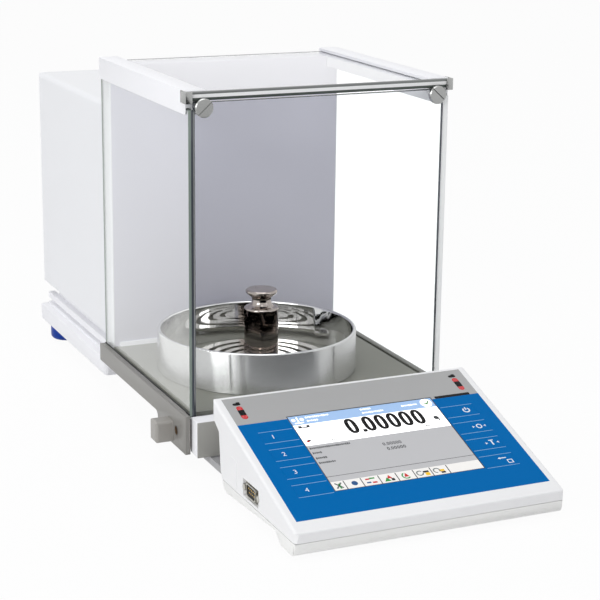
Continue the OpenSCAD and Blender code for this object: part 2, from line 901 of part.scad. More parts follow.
module term_form() intersection() {
    along_x(-term_w / 2, term_w / 2) polygon(rounded(term_outline, term_radii));
    along_z(0, term_top) round_rect([-term_w / 2, front_y], [term_w / 2, term_y], term_corner);
    on_panel() along_y(-2 * term_d, term_d)
        round_rect([-term_w / 2, -2 * term_top], [term_w / 2, 0], term_edge);
}

module term_cavity()
    along_x(term_wall - term_w / 2, term_w / 2 - term_wall) polygon(inset(term_outline, term_wall));

// Centre of a key on the panel, counted down its column
function key_place(side, k) = [side * key_u, key_v0 + k * key_pitch];

// Room of a key, wider than it by the clearance
module key_room(side, k, low, high) {
    p = key_place(side, k);
    half = [key_w / 2 + slide_gap, key_h / 2 + slide_gap];
    panel_block([p.x - half.x, p.x + half.x], [p.y - half.y, p.y + half.y], [low, high]);
}

module each_key() {
    for ($side = [-1, 1])
        for ($k = [0 : keys_each - 1])
            children();
}

// A sensor's long hole, or its window when made smaller by a clearance
module sensor_form(low, high, clearance) {
    x = sensor_w / 2 - clearance;
    y = sensor_l / 2 - clearance;
    for (side = [-1, 1])
        on_panel(side * sensor_u, sensor_v) along_z(low, high) {
            translate([-x, x - y]) square([2 * x, 2 * (y - x)]);
            for (end = [-1, 1])
                translate([0, end * (y - x)]) circle(x);
        }
}

module terminal_top() color("white") {
    difference() {
        intersection() {
            term_form();
            block([-term_w, front_y - 1, seam_z], [term_w, term_y + 1, term_top + 1]);
        }
        term_cavity();
        panel_block([-overlay_x, overlay_x], [overlay_v0, overlay_v1], [-overlay_depth, 1]);
        panel_block([-lcd_w / 2 - slide_gap, lcd_w / 2 + slide_gap],
            [lcd_v0 - slide_gap, lcd_v0 + lcd_h + slide_gap], [-term_wall - 1, 1]);
        each_key() {
            key_room($side, $k, -key_pocket, 1);
            on_panel(key_place($side, $k).x, key_place($side, $k).y)
                translate([0, 0, -term_wall - 1])
                    cylinder(d = key_stem_d + 2 * slide_gap, h = term_wall + 1);
        }
        sensor_form(-term_wall - 1, 1, 0);
        block([-term_w / 2 - 1, port_y - port_win_l / 2, port_z - port_win_h / 2],
            [term_wall - term_w / 2 + 1, port_y + port_win_l / 2, port_z + port_win_h / 2]);
        on_port() for (x = [-jack_x, jack_x])
            translate([x, 0, -1]) cylinder(d = jack_d + 2 * slide_gap, h = term_wall + 2);
    }
    // Posts that carry the circuit board
    for (u = [-post_u, post_u])
        for (v = post_v)
            on_panel(u, v) translate([0, 0, board_n])
                cylinder(d = post_d, h = eps - board_n - term_wall);
}

module terminal_bottom() color("gainsboro") difference() {
    intersection() {
        term_form();
        block([-term_w, front_y - 1, 0], [term_w, term_y + 1, seam_z]);
    }
    term_cavity();
    // Shadow line under the upper cover
    along_z(seam_z - seam_gap, seam_z + 1) difference() {
        translate([-term_w, front_y - 1]) square([2 * term_w, term_d + 2]);
        round_rect([1 - term_w / 2, front_y + 2], [term_w / 2 - 1, term_y], term_corner - 1);
    }
    // Notch for the bracket
    block([-arm_plate_x - slide_gap, term_y - back_lean - arm_plate_in - 1, arm_plate_z - 0.2],
        [arm_plate_x + slide_gap, term_y + 1, seam_z + 1]);
}

// Plate with two arms from the chamber's sill into the terminal
module terminal_bracket() color("darkgray") {
    along_z(arm_plate_z, arm_plate_z + arm_plate_t) difference() {
        round_rect([-arm_plate_x, term_y - back_lean - arm_plate_in], [arm_plate_x, glass_t], 4);
        round_rect([arm_plate_w - arm_plate_x, term_y - 4], [arm_plate_x - arm_plate_w, sill_y - 4], 6);
    }
    block([-arm_plate_x, sill_y, arm_plate_z + arm_plate_t - eps], [arm_plate_x, glass_t, sill_z]);
}

module terminal_feet() color("black") difference() {
    both_sides()
        for (y = [term_y - back_lean - 19, pad_front])
            translate([pad_x, y, 0]) cylinder(d = pad_d, h = seam_z);
    term_form();
}

module panel_overlay() color("dodgerblue") difference() {
    panel_block([-overlay_x, overlay_x], [overlay_v0, overlay_v1], [-overlay_depth, key_top]);
    panel_block([-lcd_w / 2, lcd_w / 2], [lcd_v0, lcd_v0 + lcd_h], [-1, 1]);
    each_key() key_room($side, $k, -1, 1);
    sensor_form(-1, 1, 0);
}

module display() color("gray") {
    panel_block([-lcd_w / 2, lcd_w / 2], [lcd_v0, lcd_v0 + lcd_h], [-term_wall - eps, -lcd_drop]);
    panel_block([-lcd_w / 2 - lcd_edge, lcd_w / 2 + lcd_edge],
        [lcd_v0 - lcd_edge, lcd_v0 + lcd_h + lcd_edge], [-term_wall - lcd_t, -term_wall]);
}

module terminal_board() color("seagreen") {
    panel_block([-term_board_u, term_board_u],
        [post_v[0] - lcd_edge, post_v[1] + lcd_edge], [board_n - board_t, board_n]);
    // A switch under each key
    each_key() {
        p = key_place($side, $k);
        panel_block([p.x - switch_w / 2, p.x + switch_w / 2],
            [p.y - switch_w / 2, p.y + switch_w / 2],
            [board_n - eps, key_stem_end - key_travel - turn_fit]);
    }
}

module sensor_windows() color("firebrick") sensor_form(-term_wall, key_top, 0.1);

// The data port's frame: its face looks out of the terminal's left wall
module on_port() {
    translate([term_wall - term_w / 2, port_y, port_z]) rotate([90, 0, -90]) children();
}

module data_port_shell() color("silver") on_port() {
    difference() {
        union() {
            along_z(-port_flange_t, 0) round_rect(-port_flange / 2, port_flange / 2, 2);
            along_z(-eps, term_wall) d_outline(port_w, port_h);
        }
        along_z(-port_flange_t - 1, term_wall + 1)
            d_outline(port_w - 2 * port_rim, port_h - 2 * port_rim);
    }
    for (x = [-jack_x, jack_x])
        translate([x, 0, -eps]) cylinder(d = jack_d, h = term_wall, $fn = 6);
}

module data_port_insert() color("black") on_port()
    along_z(-port_flange_t, term_wall - 1)
        d_outline(port_w - 2 * port_rim - 0.1, port_h - 2 * port_rim - 0.1);

module key(side, k) color("dodgerblue") {
    p = key_place(side, k);
    panel_block([p.x - key_w / 2, p.x + key_w / 2], [p.y - key_h / 2, p.y + key_h / 2],
        [key_base, key_top]);
    on_panel(p.x, p.y) translate([0, 0, key_stem_end]) cylinder(d = key_stem_d, h = key_stem_l + eps);
}

place() base_plate();
place() chamber_tray();
place() chamber_floor();
place() front_sill();
place() front_panel();
place() door_tracks();
place() back_wall();
place() housing_cover();
place() rear_port_tray();
place() rear_ports();
place() main_board();
place() top_rails();
place() top_bar();
place() bar_brackets();
place() front_glass();
place() left_side() clamp_screw();  // left_clamp_screw
place() clamp_screw();  // right_clamp_screw
place() foot(feet[front_left]);  // front_left_foot
place() foot(feet[front_right]);  // front_right_foot
place() foot(feet[rear_left]);  // rear_left_foot
place() foot(feet[rear_right]);  // rear_right_foot
place() left_side() door_glass();  // left_door_glass
place() left_side() door_seal();  // left_door_seal
place() left_side() door_carrier();  // left_door_carrier
place() left_side() door_handle();  // left_door_handle
place() left_side() door_screw();  // left_door_screw
place() door_glass();  // right_door_glass
place() door_seal();  // right_door_seal
place() door_carrier();  // right_door_carrier
place() door_handle();  // right_door_handle
place() door_screw();  // right_door_screw
place() top_glass();
place() draft_ring();
place() weighing_pan();
place() pan_stem();
place() load_arm();
place() balance_lever();
place() lever_coil();
place() reference_weight();
place() cell_frame();
place() magnet_pot();
place() terminal_bracket();
place() terminal_top();
place() terminal_bottom();
place() terminal_feet();
place() panel_overlay();
place() display();
place() terminal_board();
place() sensor_windows();
place() data_port_shell();
place() data_port_insert();
place() key(-1, 0);  // left_key_1
place() key(-1, 1);  // left_key_2
place() key(-1, 2);  // left_key_3
place() key(-1, 3);  // left_key_4
place() key(1, 0);  // right_key_1
place() key(1, 1);  // right_key_2
place() key(1, 2);  // right_key_3
place() key(1, 3);  // right_key_4
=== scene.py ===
# %% [markdown]
# # A laboratory mass comparator
# A comparator weighs one mass against another inside a glass draft shield. The solids come from
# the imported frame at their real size, so this script only dresses them: it never moves or resizes
# one. Every new piece is built in metres in the same frame, and rides on a body of the frame.

# %% Load the frame
import json
import math

import bmesh
import bpy
from mathutils import Matrix, Vector


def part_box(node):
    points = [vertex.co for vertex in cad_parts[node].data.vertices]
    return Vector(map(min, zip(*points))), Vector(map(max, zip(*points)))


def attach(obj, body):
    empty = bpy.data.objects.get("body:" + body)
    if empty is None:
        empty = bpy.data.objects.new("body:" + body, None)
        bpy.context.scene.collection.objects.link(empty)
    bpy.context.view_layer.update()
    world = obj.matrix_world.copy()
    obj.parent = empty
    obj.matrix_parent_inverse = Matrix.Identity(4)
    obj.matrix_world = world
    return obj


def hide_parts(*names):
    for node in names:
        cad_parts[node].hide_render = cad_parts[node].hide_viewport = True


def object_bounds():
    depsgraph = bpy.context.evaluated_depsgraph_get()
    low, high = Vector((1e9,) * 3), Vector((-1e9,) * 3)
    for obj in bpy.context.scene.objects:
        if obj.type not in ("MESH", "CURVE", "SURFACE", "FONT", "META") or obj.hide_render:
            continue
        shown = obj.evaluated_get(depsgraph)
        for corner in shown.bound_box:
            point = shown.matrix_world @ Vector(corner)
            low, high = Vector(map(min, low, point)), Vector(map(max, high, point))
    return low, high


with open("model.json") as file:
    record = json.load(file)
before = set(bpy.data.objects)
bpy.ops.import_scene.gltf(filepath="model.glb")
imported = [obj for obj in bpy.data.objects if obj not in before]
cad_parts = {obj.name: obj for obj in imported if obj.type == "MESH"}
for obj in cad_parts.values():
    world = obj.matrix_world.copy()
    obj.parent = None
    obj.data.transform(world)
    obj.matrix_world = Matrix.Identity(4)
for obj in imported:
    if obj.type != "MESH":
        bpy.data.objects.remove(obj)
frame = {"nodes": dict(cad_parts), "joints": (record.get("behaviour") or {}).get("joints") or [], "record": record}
cad_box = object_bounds()
nodes = frame["nodes"]
joints = {joint["name"]: joint for joint in frame["joints"]}
bodies = frame["record"]["behaviour"]["bodies"]
body_of_node = {node: body for body, group in bodies.items() for node in group}
slot_of_node = {part["node"]: part["material_slot"] for part in frame["record"]["subparts"]}
MM = 0.001
scene = bpy.context.scene

# %% [markdown]
# ## Camera
# The photograph looks down on the object from its front left. A long lens keeps the upright edges
# nearly parallel. The place and the angles were solved from corners of the object that show in the
# photograph, which is quicker and surer than moving the camera by eye.

# %% Camera
LENS, SENSOR = 103.47, 36
VIEW_TURN, VIEW_DOWN, VIEW_ROLL = -24.31, 15.27, 0.70
CAMERA_PLACE = (-0.53608, -1.26045, 0.4675)


def new_object(name, data):
    thing = bpy.data.objects.new(name, data)
    scene.collection.objects.link(thing)
    return thing


camera_data = bpy.data.cameras.new("photo_camera")
camera_data.lens = LENS
camera_data.sensor_width = SENSOR
camera = new_object("photo_camera", camera_data)
heading = Matrix.Rotation(math.radians(VIEW_TURN), 4, "Z")
tilt = Matrix.Rotation(math.radians(90 - VIEW_DOWN), 4, "X")
roll = Matrix.Rotation(math.radians(VIEW_ROLL), 4, "Z")
camera.matrix_world = Matrix.Translation(CAMERA_PLACE) @ heading @ tilt @ roll
scene.camera = camera
print("camera at", [round(c, 3) for c in camera.location])

# %% [markdown]
# ## Sky
# The object stands on a white sweep under soft light. A lamp strong enough to burn the background
# white would also burn the white enamel, so the white is given only to rays that come straight from
# the camera, from a reflection or through glass. All other rays meet a plain grey sky.

# %% Sky
scene.view_settings.view_transform = "Standard"
SKY_LIGHT, THROUGH_GLASS = 0.5, 1.75


def link(tree, *pairs):
    for start, end in pairs:
        tree.links.new(start, end)


def set_values(node, values):
    for label, value in values.items():
        node.inputs[label].default_value = value


def math_node(tree, operation, first, second):
    node = tree.nodes.new("ShaderNodeMath")
    node.operation = operation
    for socket, value in zip(node.inputs, (first, second)):
        if isinstance(value, (int, float)):
            socket.default_value = value
        else:
            link(tree, (value, socket))
    return node.outputs[0]


def background_white(tree):
    """Which rays meet the plain white, and its strength; the coated pane would dim it."""
    path = tree.nodes.new("ShaderNodeLightPath")
    seen = math_node(tree, "MAXIMUM", path.outputs["Is Camera Ray"], path.outputs["Is Glossy Ray"])
    seen = math_node(tree, "MAXIMUM", seen, path.outputs["Is Transmission Ray"])
    level = math_node(tree, "MULTIPLY", path.outputs["Is Transmission Ray"], THROUGH_GLASS)
    return seen, math_node(tree, "MAXIMUM", level, 1)


world = bpy.data.worlds.new("white_sweep")
scene.world = world
world.use_nodes = True
sky = world.node_tree
sky.nodes.clear()
soft_sky = sky.nodes.new("ShaderNodeBackground")
set_values(soft_sky, {"Color": (0.97, 0.98, 1.0, 1), "Strength": SKY_LIGHT})
white_sky = sky.nodes.new("ShaderNodeBackground")
set_values(white_sky, {"Color": (1, 1, 1, 1)})
sky_mix = sky.nodes.new("ShaderNodeMixShader")
sky_out = sky.nodes.new("ShaderNodeOutputWorld")
seen, level = background_white(sky)
link(sky, (seen, sky_mix.inputs[0]), (level, white_sky.inputs["Strength"]),
     (soft_sky.outputs[0], sky_mix.inputs[1]), (white_sky.outputs[0], sky_mix.inputs[2]),
     (sky_mix.outputs[0], sky_out.inputs["Surface"]))
print("sky lights the object with", SKY_LIGHT)

# %% [markdown]
# ## Floor
# The floor is one large plane just below the feet. It mixes the same white with a diffuse coat,
# which keeps a faint shadow.

# %% Floor
FLOOR_WHITE, FLOOR_REACH, FLOOR_DROP = 0.95, 4, 0.2


def stage_plane(name, corners, material, faces=((0, 1, 2, 3),)):
    mesh = bpy.data.meshes.new(name)
    mesh.from_pydata(corners, [], faces)
    mesh.materials.append(material)
    plane = new_object(name, mesh)
    return plane


floor_paint = bpy.data.materials.new("floor_paint")
floor_paint.use_nodes = True
paint = floor_paint.node_tree
paint.nodes.clear()
coat = paint.nodes.new("ShaderNodeBsdfDiffuse")
set_values(coat, {"Color": (0.85, 0.85, 0.85, 1)})
glow = paint.nodes.new("ShaderNodeEmission")
paint_mix = paint.nodes.new("ShaderNodeMixShader")
paint_out = paint.nodes.new("ShaderNodeOutputMaterial")
seen, level = background_white(paint)
link(paint, (math_node(paint, "MULTIPLY", seen, FLOOR_WHITE), paint_mix.inputs[0]),
     (level, glow.inputs["Strength"]), (coat.outputs[0], paint_mix.inputs[1]),
     (glow.outputs[0], paint_mix.inputs[2]), (paint_mix.outputs[0], paint_out.inputs["Surface"]))
floor_z = cad_box[0].z - FLOOR_DROP * MM
stage_plane("floor", [(FLOOR_REACH * x, FLOOR_REACH * y, floor_z)
                      for x, y in ((-1, -1), (1, -1), (1, 1), (-1, 1))], floor_paint)
print("floor", FLOOR_DROP, "mm below the feet")

# %% [markdown]
# ## Lamps and flag
# Three soft lamps model the forms: one overhead, a strong one at the left and a weak one at the
# right. Polished metal shows only what stands around it, and in an all-white room it looks like
# plaster. So a dark curved flag stands in front of the object, as in a studio. Only reflections meet
# it, and the weight and the draft ring take their dark sides from it.

# %% Lamps and flag
MIDDLE = Vector((0, 0, 0.15))


def soft_lamp(name, place, size, power):
    """A square lamp that looks at the middle of the object."""
    data = bpy.data.lights.new(name, "AREA")
    data.shape = "SQUARE"
    data.size = size
    data.energy = power
    lamp = new_object(name, data)
    turn = (MIDDLE - Vector(place)).to_track_quat("-Z", "Y").to_matrix().to_4x4()
    lamp.matrix_world = Matrix.Translation(place) @ turn


soft_lamp("overhead", (-0.3, -0.3, 2.2), size=1.6, power=16)
soft_lamp("left_front", (-2.1, -1.2, 1.0), size=1.2, power=20)
soft_lamp("right_front", (1.6, -1.9, 1.2), size=1.2, power=2)

FLAG_GLOW, FLAG_FAR, FLAG_HIGH, FLAG_STEPS = 0.004, 0.42, 0.19, 8
FLAG_FROM, FLAG_TO = -16, 62
flag_paint = bpy.data.materials.new("flag_paint")
flag_paint.use_nodes = True
cloth = flag_paint.node_tree
cloth.nodes.clear()
flag_light = cloth.nodes.new("ShaderNodeEmission")
set_values(flag_light, {"Strength": FLAG_GLOW})
flag_out = cloth.nodes.new("ShaderNodeOutputMaterial")
link(cloth, (flag_light.outputs[0], flag_out.inputs["Surface"]))

ring_low, ring_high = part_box("draft_ring")
ring_middle = (ring_low + ring_high) / 2
corners = []
for step in range(FLAG_STEPS + 1):
    turn = math.radians(VIEW_TURN + FLAG_FROM + (FLAG_TO - FLAG_FROM) * step / FLAG_STEPS)
    place = ring_middle + Vector((math.sin(turn), -math.cos(turn), 0)) * FLAG_FAR
    corners += [(place.x, place.y, MM), (place.x, place.y, FLAG_HIGH)]
faces = [(step, step + 1, step + 3, step + 2) for step in range(0, 2 * FLAG_STEPS, 2)]
flag = stage_plane("dark_flag", corners, flag_paint, faces)
flag.visible_camera = False
flag.visible_diffuse = False
flag.visible_transmission = False
flag.visible_shadow = False
flag.visible_volume_scatter = False
print("3 lamps, and a flag", FLAG_HIGH, "m high")

# %% [markdown]
# ## Shared surface effects
# Powder coat, moulded plastic, brushed steel and turned metal all show the same thing up close: a
# fine grain, and slow drifts of tone and gloss across the piece. One node group gives both. The
# stretch decides whether the grain is round, as in a coat, or drawn out, as a tool leaves it. A
# second group gives the marks that hands leave on glass. Groups put out only values that change
# over the surface, and the shader stays in each material.

# %% Grain
COLOR, VALUE, VECTOR = "NodeSocketColor", "NodeSocketFloat", "NodeSocketVector"


def new_group(name, inputs, outputs):
    group = bpy.data.node_groups.new(name, "ShaderNodeTree")
    for label, kind, value in inputs:
        socket = group.interface.new_socket(label, in_out="INPUT", socket_type=kind)
        socket.default_value = value
    for label, kind in outputs:
        group.interface.new_socket(label, in_out="OUTPUT", socket_type=kind)
    return group, group.nodes.new("NodeGroupInput"), group.nodes.new("NodeGroupOutput")


def noise(tree, vector, scale, detail):
    texture = tree.nodes.new("ShaderNodeTexNoise")
    texture.inputs["Detail"].default_value = detail
    link(tree, (vector, texture.inputs["Vector"]))
    if isinstance(scale, (int, float)):
        texture.inputs["Scale"].default_value = scale
    else:
        link(tree, (scale, texture.inputs["Scale"]))
    return texture.outputs["Fac"]


FINE_SHARE, FINE_DETAIL, DRIFT_SCALE, DRIFT_DETAIL = 0.8, 3, 11, 2
grain, grain_in, grain_out = new_group(
    "surface_grain",
    [("Color", COLOR, (0.8, 0.8, 0.8, 1)), ("Roughness", VALUE, 0.4), ("Scale", VALUE, 900.0),
     ("Stretch", VECTOR, (1, 1, 1)), ("Mottle", VALUE, 0.02), ("Spread", VALUE, 0.05)],
    [("Color", COLOR), ("Roughness", VALUE), ("Height", VALUE)])
where = grain.nodes.new("ShaderNodeTexCoord").outputs["Object"]
drawn = grain.nodes.new("ShaderNodeVectorMath")
drawn.operation = "MULTIPLY"
link(grain, (where, drawn.inputs[0]), (grain_in.outputs["Stretch"], drawn.inputs[1]))
fine = noise(grain, drawn.outputs[0], grain_in.outputs["Scale"], FINE_DETAIL)
drift = noise(grain, where, DRIFT_SCALE, DRIFT_DETAIL)
both = math_node(grain, "ADD", math_node(grain, "MULTIPLY", fine, FINE_SHARE), drift)
centred = math_node(grain, "SUBTRACT", both, (FINE_SHARE + 1) / 2)
mottled = math_node(grain, "MULTIPLY", centred, grain_in.outputs["Mottle"])
tinted = grain.nodes.new("ShaderNodeVectorMath")
tinted.operation = "SCALE"
gloss = math_node(grain, "MULTIPLY", centred, grain_in.outputs["Spread"])
link(grain, (grain_in.outputs["Color"], tinted.inputs[0]),
     (math_node(grain, "ADD", mottled, 1), tinted.inputs["Scale"]),
     (tinted.outputs[0], grain_out.inputs["Color"]), (fine, grain_out.inputs["Height"]),
     (math_node(grain, "ADD", gloss, grain_in.outputs["Roughness"]), grain_out.inputs["Roughness"]))
print("group", grain.name)

# %% [markdown]
# Marks of hands are patches: a slow noise, of which only the highest part counts. Between clean and
# marked glass only the roughness differs.

# %% Hand marks
SMEAR_FROM, SMEAR_TO, SMEAR_DETAIL = 0.52, 0.75, 5
marks, marks_in, marks_out = new_group(
    "hand_marks", [("Clean", VALUE, 0.0), ("Marked", VALUE, 0.1), ("Scale", VALUE, 18.0)],
    [("Roughness", VALUE)])
spots = noise(marks, marks.nodes.new("ShaderNodeTexCoord").outputs["Object"],
              marks_in.outputs["Scale"], SMEAR_DETAIL)
smear = marks.nodes.new("ShaderNodeMapRange")
set_values(smear, {"From Min": SMEAR_FROM, "From Max": SMEAR_TO})
blended = marks.nodes.new("ShaderNodeMapRange")
link(marks, (spots, smear.inputs["Value"]), (smear.outputs[0], blended.inputs["Value"]),
     (marks_in.outputs["Clean"], blended.inputs["To Min"]),
     (marks_in.outputs["Marked"], blended.inputs["To Max"]),
     (blended.outputs[0], marks_out.inputs["Roughness"]))
print("group", marks.name)

# %% [markdown]
# ## Finishes
# Each finish of the record gets one material: a Principled shader whose colour, roughness and
# relief come from the grain group with its own values. Colours are written as they look on screen
# and turned into the linear values that the shader needs.

# %% Finish helper
BUMP_STRENGTH, QUARTER_TURN = 0.5, 0.25


def linear(red, green, blue):
    """Screen values from 0 to 255 as linear light."""
    parts = []
    for value in (red, green, blue):
        share = value / 255
        parts.append(share / 12.92 if share <= 0.04045 else ((share + 0.055) / 1.055) ** 2.4)
    return (*parts, 1)


def grain_node(tree, color, rough, scale, stretch, mottle, spread):
    node = tree.nodes.new("ShaderNodeGroup")
    node.node_tree = grain
    set_values(node, {"Color": linear(*color), "Roughness": rough, "Scale": scale,
                      "Stretch": stretch, "Mottle": mottle, "Spread": spread})
    return node


def finish(name, color, rough, scale=900, stretch=(1, 1, 1), mottle=0.04, spread=0.08, relief=0.04,
           metallic=0.0, coat_weight=0.0, glow_strength=0.0, specular=0.5, anisotropic=0.0):
    material = bpy.data.materials.new(name)
    material.use_nodes = True
    tree = material.node_tree
    shader = tree.nodes["Principled BSDF"]
    set_values(shader, {"Metallic": metallic, "Coat Weight": coat_weight,
                        "Specular IOR Level": specular, "Anisotropic": anisotropic,
                        "Anisotropic Rotation": QUARTER_TURN})
    source = grain_node(tree, color, rough, scale, stretch, mottle, spread)
    bump = tree.nodes.new("ShaderNodeBump")
    set_values(bump, {"Strength": BUMP_STRENGTH, "Distance": relief * MM})
    link(tree, (source.outputs["Color"], shader.inputs["Base Color"]),
         (source.outputs["Roughness"], shader.inputs["Roughness"]),
         (source.outputs["Height"], bump.inputs["Height"]), (bump.outputs[0], shader.inputs["Normal"]))
    if glow_strength:
        set_values(shader, {"Emission Strength": glow_strength})
        link(tree, (source.outputs["Color"], shader.inputs["Emission Color"]))
    return material


print("a screen value of 128 is", round(linear(128, 128, 128)[0], 3), "in the shader")

# %% [markdown]
# The scale counts grains in a metre, the relief is in millimetres, and the stretch draws the grain
# out along an axis or round an upright one.

# %% Coats, plastics and metals
ALONG_X, ALONG_Y, AROUND = (0.02, 1, 1), (1, 0.02, 1), (0.03, 0.03, 1)
LOOKS = {
    "white_enamel": dict(color=(240, 241, 244), rough=0.32, coat_weight=0.2),
    "white_casting": dict(color=(249, 249, 252), rough=0.45, scale=1400, relief=0.08),
    "lavender_coat": dict(color=(231, 229, 241), rough=0.42, scale=1600, relief=0.05),
    "grey_coat": dict(color=(165, 165, 167), rough=0.34, scale=1500, relief=0.05),
    "carrier_grey": dict(color=(138, 136, 132), rough=0.38, scale=1500, stretch=ALONG_Y),
    "bare_aluminium": dict(color=(205, 207, 210), rough=0.35, metallic=1.0, stretch=ALONG_Y),
    "steel": dict(color=(168, 169, 168), rough=0.24, metallic=1.0, stretch=ALONG_X, mottle=0.08),
    "polished_aluminium": dict(color=(228, 228, 228), rough=0.05, scale=2500, stretch=AROUND,
                               metallic=1.0, mottle=0.05, spread=0.03, relief=0.003),
    "polished_steel": dict(color=(216, 213, 208), rough=0.12, scale=2500, stretch=AROUND,
                           metallic=1.0, mottle=0.05, spread=0.04, relief=0.003),
    "black_rubber": dict(color=(28, 28, 29), rough=0.6, scale=2200, relief=0.1),
    "foot_blue": dict(color=(10, 60, 156), rough=0.34, scale=1500, mottle=0.08, specular=0.2),
    "handle_grey": dict(color=(164, 161, 156), rough=0.4, scale=1800, relief=0.07),
    "screw_brass": dict(color=(132, 98, 58), rough=0.3, metallic=1.0, mottle=0.25),
    "coil_copper": dict(color=(190, 112, 70), rough=0.35, metallic=1.0, stretch=AROUND),
    "magnet_iron": dict(color=(96, 98, 102), rough=0.45, metallic=1.0),
    "board_green": dict(color=(30, 98, 60), rough=0.45, mottle=0.15),
    "terminal_white": dict(color=(244, 244, 245), rough=0.36, scale=1700, relief=0.06),
    "terminal_grey": dict(color=(244, 244, 242), rough=0.4, scale=1700, relief=0.06),
    "panel_blue": dict(color=(0, 106, 178), rough=0.45, scale=2400, relief=0.02, mottle=0.05,
                       specular=0.03),
    "display_grey": dict(color=(44, 46, 50), rough=0.3, scale=2400, relief=0.02),
    "sensor_red": dict(color=(40, 10, 12), rough=0.12, scale=2400, relief=0.01, coat_weight=0.6),
    "port_metal": dict(color=(198, 196, 188), rough=0.3, metallic=1.0, mottle=0.1),
    "port_black": dict(color=(20, 20, 21), rough=0.5, scale=2200),
}
finishes = {name: finish(name, **look) for name, look in LOOKS.items()}
print(len(finishes), "finishes")

# %% [markdown]
# ## Glass
# The shield is float glass. Its faces are clear. Its ground edges are green glass, but their colours
# are painted light: a painted dark, a green and a painted bright finish stand for the light that each
# edge gathers from round it and from inside the pane. The front pane is a little grey, as a coating
# against static charge makes it. A pane would block the lamps in a path tracer, so light passes
# through it, dimmed by the tint once for each face, and what a polished piece mirrors passes through
# it untouched. The front and top panes bend light less, as a coating against glare would make it seem.

# %% Clear glass and ground edges
MARK_ROUGH, FLOAT_BENDING, COATED_BENDING = 0.012, 1.45, 1.2


def clear_glass(name, tint, bending):
    material = bpy.data.materials.new(name)
    material.use_nodes = True
    tree = material.node_tree
    shader = tree.nodes["Principled BSDF"]
    set_values(shader, {"Base Color": (*tint, 1), "Transmission Weight": 1.0, "IOR": bending})
    hands = tree.nodes.new("ShaderNodeGroup")
    hands.node_tree = marks
    set_values(hands, {"Marked": MARK_ROUGH})
    through = tree.nodes.new("ShaderNodeBsdfTransparent")
    set_values(through, {"Color": (*[math.sqrt(part) for part in tint], 1)})
    path = tree.nodes.new("ShaderNodeLightPath").outputs
    passing = math_node(tree, "MAXIMUM", path["Is Shadow Ray"], path["Is Diffuse Ray"])
    mirrored = math_node(tree, "MULTIPLY", path["Is Glossy Ray"], path["Is Reflection Ray"])
    mix = tree.nodes.new("ShaderNodeMixShader")
    mirror_mix = tree.nodes.new("ShaderNodeMixShader")
    untouched = tree.nodes.new("ShaderNodeBsdfTransparent")
    link(tree, (hands.outputs["Roughness"], shader.inputs["Roughness"]),
         (passing, mix.inputs[0]), (shader.outputs[0], mix.inputs[1]),
         (through.outputs[0], mix.inputs[2]), (mirrored, mirror_mix.inputs[0]),
         (mix.outputs[0], mirror_mix.inputs[1]), (untouched.outputs[0], mirror_mix.inputs[2]),
         (mirror_mix.outputs[0], tree.nodes["Material Output"].inputs["Surface"]))
    return material


finishes["pane_glass"] = clear_glass("pane_glass", (0.97, 0.985, 0.98), FLOAT_BENDING)
coated_glass = clear_glass("coated_glass", (0.785, 0.797, 0.803), COATED_BENDING)
top_clear = clear_glass("top_clear", (0.96, 0.965, 0.97), COATED_BENDING)
# Painted light: these three edge finishes stand for what each ground edge gathers, dark, green and bright.
edge_painted_dark = finish("edge_painted_dark", (70, 75, 82), 0.25, scale=1200, mottle=0.4, coat_weight=0.5)
edge_green_painted_light = finish("edge_green_painted_light", (130, 143, 135), 0.25, scale=1200, mottle=0.4, coat_weight=0.5)
edge_painted_bright = finish("edge_painted_bright", (252, 253, 252), 0.3, scale=1200, mottle=0.1)
print("3 kinds of glass and 3 of edges")

# %% [markdown]
# ## Finishes on the solids
# Every solid takes the finish of its slot. Four of them look unlike the rest of theirs: the panel
# below the pane and the chamber floor are warmer greys than the bracket, the weight is a darker
# mirror than the pan, and the right door's seal is an olive grey.

# %% Finishes on the solids
OWN_FINISH = {
    "front_panel": finish("sill_grey", (167, 166, 161), 0.36, scale=1500),
    "chamber_floor": finish("floor_grey", (145, 145, 135), 0.42, scale=1500, relief=0.05,
                            specular=0.25),
    "reference_weight": finish("weight_steel", (186, 177, 171), 0.03, scale=2500, stretch=AROUND,
                               metallic=1.0, mottle=0.1, spread=0.03, relief=0.003),
    "right_door_seal": finish("seal_olive", (112, 112, 103), 0.5, scale=2200),
}
for node, slot in slot_of_node.items():
    nodes[node].data.materials[0] = OWN_FINISH.get(node, finishes[slot])
print("finishes set on", len(slot_of_node), "nodes")

# %% [markdown]
# ## Pieces with softened edges
# Sheet metal, castings and moulded covers never have a knife edge, and a thin bright line along an
# edge is what makes them look solid. A copy of the solid's mesh is merged and its flat faces are
# joined, and a Bevel modifier then rounds what is left of its edges. The copy stands for the solid.

# %% Copies of a solid's mesh
MERGE, FLAT_ANGLE, SHARP_ANGLE = 0.004, math.radians(0.4), math.radians(32)


def merged_copy(node):
    bm = bmesh.new()
    bm.from_mesh(nodes[node].data)
    bmesh.ops.remove_doubles(bm, verts=bm.verts, dist=MERGE * MM)
    return bm


def joined_copy(node):
    bm = merged_copy(node)
    bmesh.ops.dissolve_limit(bm, angle_limit=FLAT_ANGLE, verts=bm.verts, edges=bm.edges,
                             use_dissolve_boundaries=False)
    return bm


def evaluated_mesh(work):
    """The plain mesh that an object's modifiers or text give; the object itself is removed."""
    graph = bpy.context.evaluated_depsgraph_get()
    ready = bpy.data.meshes.new_from_object(work.evaluated_get(graph))
    bpy.data.objects.remove(work)
    return ready


